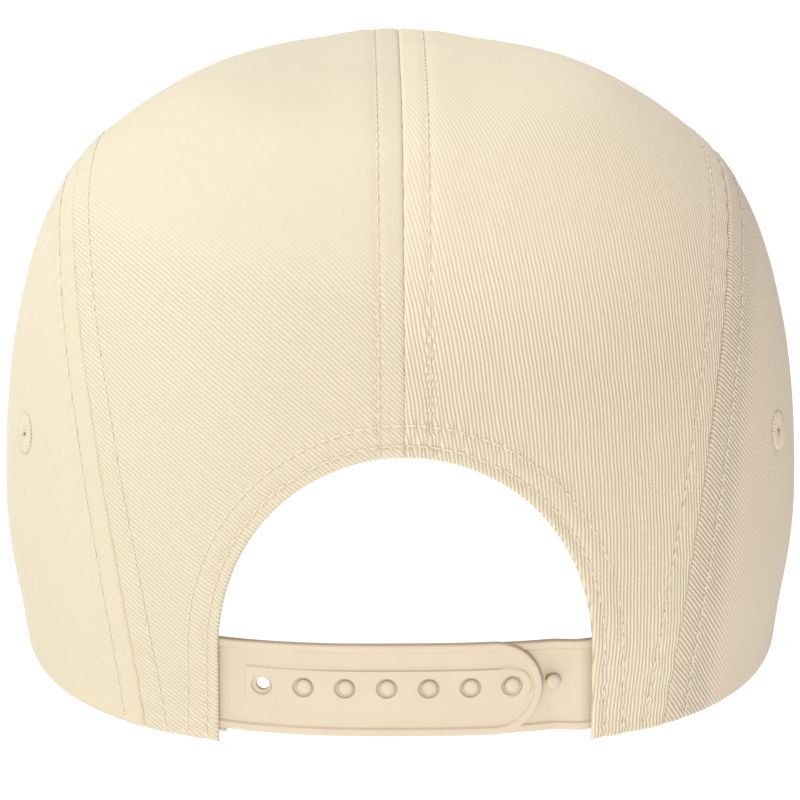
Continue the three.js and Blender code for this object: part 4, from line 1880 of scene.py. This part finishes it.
@dataclass
class CrownCloth:
    """The five panels of the crown.

    Attributes:
        crown: The crown's form.
        plan: The lines that divide it.
    """

    crown: Crown
    plan: SeamPlan
    seam_row: float = 5.4 * MM
    hem_rows: tuple[float, float] = (2.6 * MM, 7 * MM)
    arch_share: float = 0.42
    vents: tuple[tuple[float, float], ...] = ((0.681, -0.281), (0.7, 0.2))

    def __post_init__(self) -> None:
        """Chooses how each panel was cut from the cloth: the ribs run another way on each. The right back
        panel's colours are brighter, as painted light, and the right side panel's darker, as painted shade.
        """
        flat = {"pressed_height": (91 * MM, 106 * MM), "pressed": 0.1}
        crisp = {"pressed_height": (72 * MM, 116 * MM), "pressed": 0.22}
        # painted light: the right back panel's twill is coloured brighter than the same cloth elsewhere,
        # standing in for more light on it
        painted_light_colours = {"crest": (0.78, 0.699, 0.517), "valley_shade": (0.615, 0.527, 0.374)}
        # painted shade: the right side panel's twill is coloured darker than the same cloth elsewhere, as
        # the shade on that side
        painted_shade_colours = {"crest": (0.7, 0.617, 0.468), "valley_shade": (0.557, 0.47, 0.342)}
        # the ribs' contrast differs from panel to panel and scales their painted groove shade along with
        # their relief
        self.back_twills = {
            -1: Twill("twill back left", grain=-33.5, contrast=0.62, **flat),
            1: Twill("twill back right", grain=-91.0, contrast=1.6, **crisp, **painted_light_colours),
        }
        self.side_twills = {
            -1: Twill("twill side left", grain=62.0, pitch=0.98 * MM, contrast=0.14, **flat),
            1: Twill("twill side right", grain=-61.0, pitch=0.98 * MM, contrast=1.6, **crisp, **painted_shade_colours),
        }

    def build(self, thread: bpy.types.Material) -> None:
        """Builds the panels and their stitching."""
        panels = [self._front(), *(make(side) for side in (-1, 1) for make in (self._side, self._back))]
        for panel in panels:
            panel.build()
            Stitching(f"stitches_{panel.node}", panel.stitches()).build(thread)

    def _back(self, side: int) -> ClothPanel:
        """A long panel from the arch over the top to the front panel, beside the centre seam."""
        plan = self.plan
        arch, outer, top = plan.arch(side), plan.side(side), plan.top(side)
        apex, end = arch(np.ones(1))[0], top(np.zeros(1))[0]

        def centre(shares: Array) -> Array:
            """The centre seam from the arch to the front panel."""
            return apex + (end - apex) * np.asarray(shares)[..., None]

        def inner(shares: Array) -> Array:
            """The arch's edge, then the centre seam."""
            low = arch(np.minimum(shares / self.arch_share, 1))
            high = centre(np.maximum(shares - self.arch_share, 0) / (1 - self.arch_share))
            return np.where((shares < self.arch_share)[..., None], low, high)

        rim = plan.rim(arch(np.zeros(1))[0], outer(np.zeros(1))[0])
        lower = crowded(64, 0.8) * self.arch_share
        upper = self.arch_share + (1 - self.arch_share) * crowded(96, 0.8)
        return ClothPanel(
            node=sided("back_panel", side),
            crown=self.crown,
            outline=Outline(left=inner, right=outer, bottom=rim, top=top),
            borders=(
                Border(Finish.HEM, arch, self.hem_rows),
                Border(Finish.SEAM, centre, (self.seam_row,), welt=0.0, roll=0.6),
                Border(Finish.SEAM, outer, (self.seam_row,)),
                Border(Finish.SEAM, top, (self.seam_row,)),
                Border(Finish.RIM, rim),
            ),
            columns=crowded(72),
            rows=np.concatenate([lower, upper[1:]]),
            grain_spot=(side * 0.25, -0.62),
            finish=self.back_twills[side],
            phase=0.7 + side,
        )

    def _side(self, side: int) -> ClothPanel:
        """A panel over the ear, closed to a point at the top."""
        back, front = self.plan.side(side), self.plan.front(side)
        tip = back(np.ones(1))[0]
        rim = self.plan.rim(back(np.zeros(1))[0], front(np.zeros(1))[0])
        return ClothPanel(
            node=sided("side_panel", side),
            crown=self.crown,
            outline=Outline(
                left=back,
                right=front,
                bottom=rim,
                top=lambda shares: np.broadcast_to(tip, (*np.shape(shares), 2)),
            ),
            borders=(
                Border(Finish.SEAM, back, (self.seam_row,)),
                Border(Finish.SEAM, front, (self.seam_row,)),
                Border(Finish.RIM, rim),
            ),
            columns=crowded(110),
            rows=crowded(110),
            grain_spot=(side * 0.7, 0.0),
            finish=self.side_twills[side],
            phase=1.9 + 2 * side,
            vents=tuple((side * across, along) for across, along in self.vents),
        )

    def _front(self) -> ClothPanel:
        """The single panel above the peak."""
        plan = self.plan
        left, right = plan.front(-1), plan.front(1)
        tops = {side: plan.top(side) for side in (-1, 1)}

        def top(shares: Array) -> Array:
            """The whole top edge, from left to right."""
            first = tops[-1](np.clip(1 - 2 * shares, 0, 1))
            second = tops[1](np.clip(2 * shares - 1, 0, 1))
            return np.where((shares < 0.5)[..., None], first, second)

        rim = plan.rim(left(np.zeros(1))[0], right(np.zeros(1))[0])
        return ClothPanel(
            node="front_panel",
            crown=self.crown,
            outline=Outline(left=left, right=right, bottom=rim, top=top),
            borders=(
                Border(Finish.SEAM, left, (self.seam_row,)),
                Border(Finish.SEAM, right, (self.seam_row,)),
                Border(Finish.SEAM, top, (self.seam_row,)),
                Border(Finish.RIM, rim),
            ),
            columns=crowded(120),
            rows=crowded(90),
            grain_spot=(0.0, 0.8),
            finish=Twill("twill front", grain=45.0),
            phase=0.2,
        )


def main() -> None:
    """Builds the cap round its frame and logs the face counts of the panels, the stitching and the straps.
    """
    logging.basicConfig(level=logging.INFO, format="%(message)s")
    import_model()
    _, side_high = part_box("side_panel_right")
    _, peak_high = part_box("peak")
    peak_length = 70 * MM
    crown = Crown(half_width=side_high[0], middle=Crown.front_reach + peak_length - peak_high[1])
    plan = SeamPlan(crown)
    Studio(aim=Vector((0.0, -crown.middle, 47.2 * MM))).build()
    thread = Thread("topstitch thread").material()
    cloth = CrownCloth(crown, plan)
    cloth.build(thread)
    peak = Peak(crown, peak_length)
    peak.build(Twill("twill peak", grain=45.0))
    Stitching("stitches_peak", peak.stitches()).build(thread)
    ring_thread = Thread("eyelet thread", colour=(0.68, 0.602, 0.452), shade=(0.62, 0.545, 0.402)).material()
    strap_hold, band_inset = 11 * MM, 1.8 * MM
    tuck = plan.arch_half_width + strap_hold
    Sweatband(crown, foot=plan.arch_half_width + band_inset, clear=tuck).build()
    for side in (-1, 1):
        for (across, along), spot in zip(cloth.vents, ("back", "front")):
            Eyelet(sided(f"eyelet_{spot}", side), crown, (side * across, along)).build(ring_thread)
    plastic = MouldedPlastic("strap plastic").material()
    upper = HoleStrap("strap_holes", crown, start=-tuck, tip=29.2 * MM)
    upper.build(plastic)
    play = 0.12 * MM
    snaps = [hole + upper.hole_pitch + play for hole in upper.holes()]
    lower = PinStrap("strap_pins", crown, start=tuck, tip=-25.5 * MM, pins=tuple(snaps))
    lower.pin_rise = upper.row_rise + play
    lower.build(plastic)


if __name__ == "__main__":
    main()
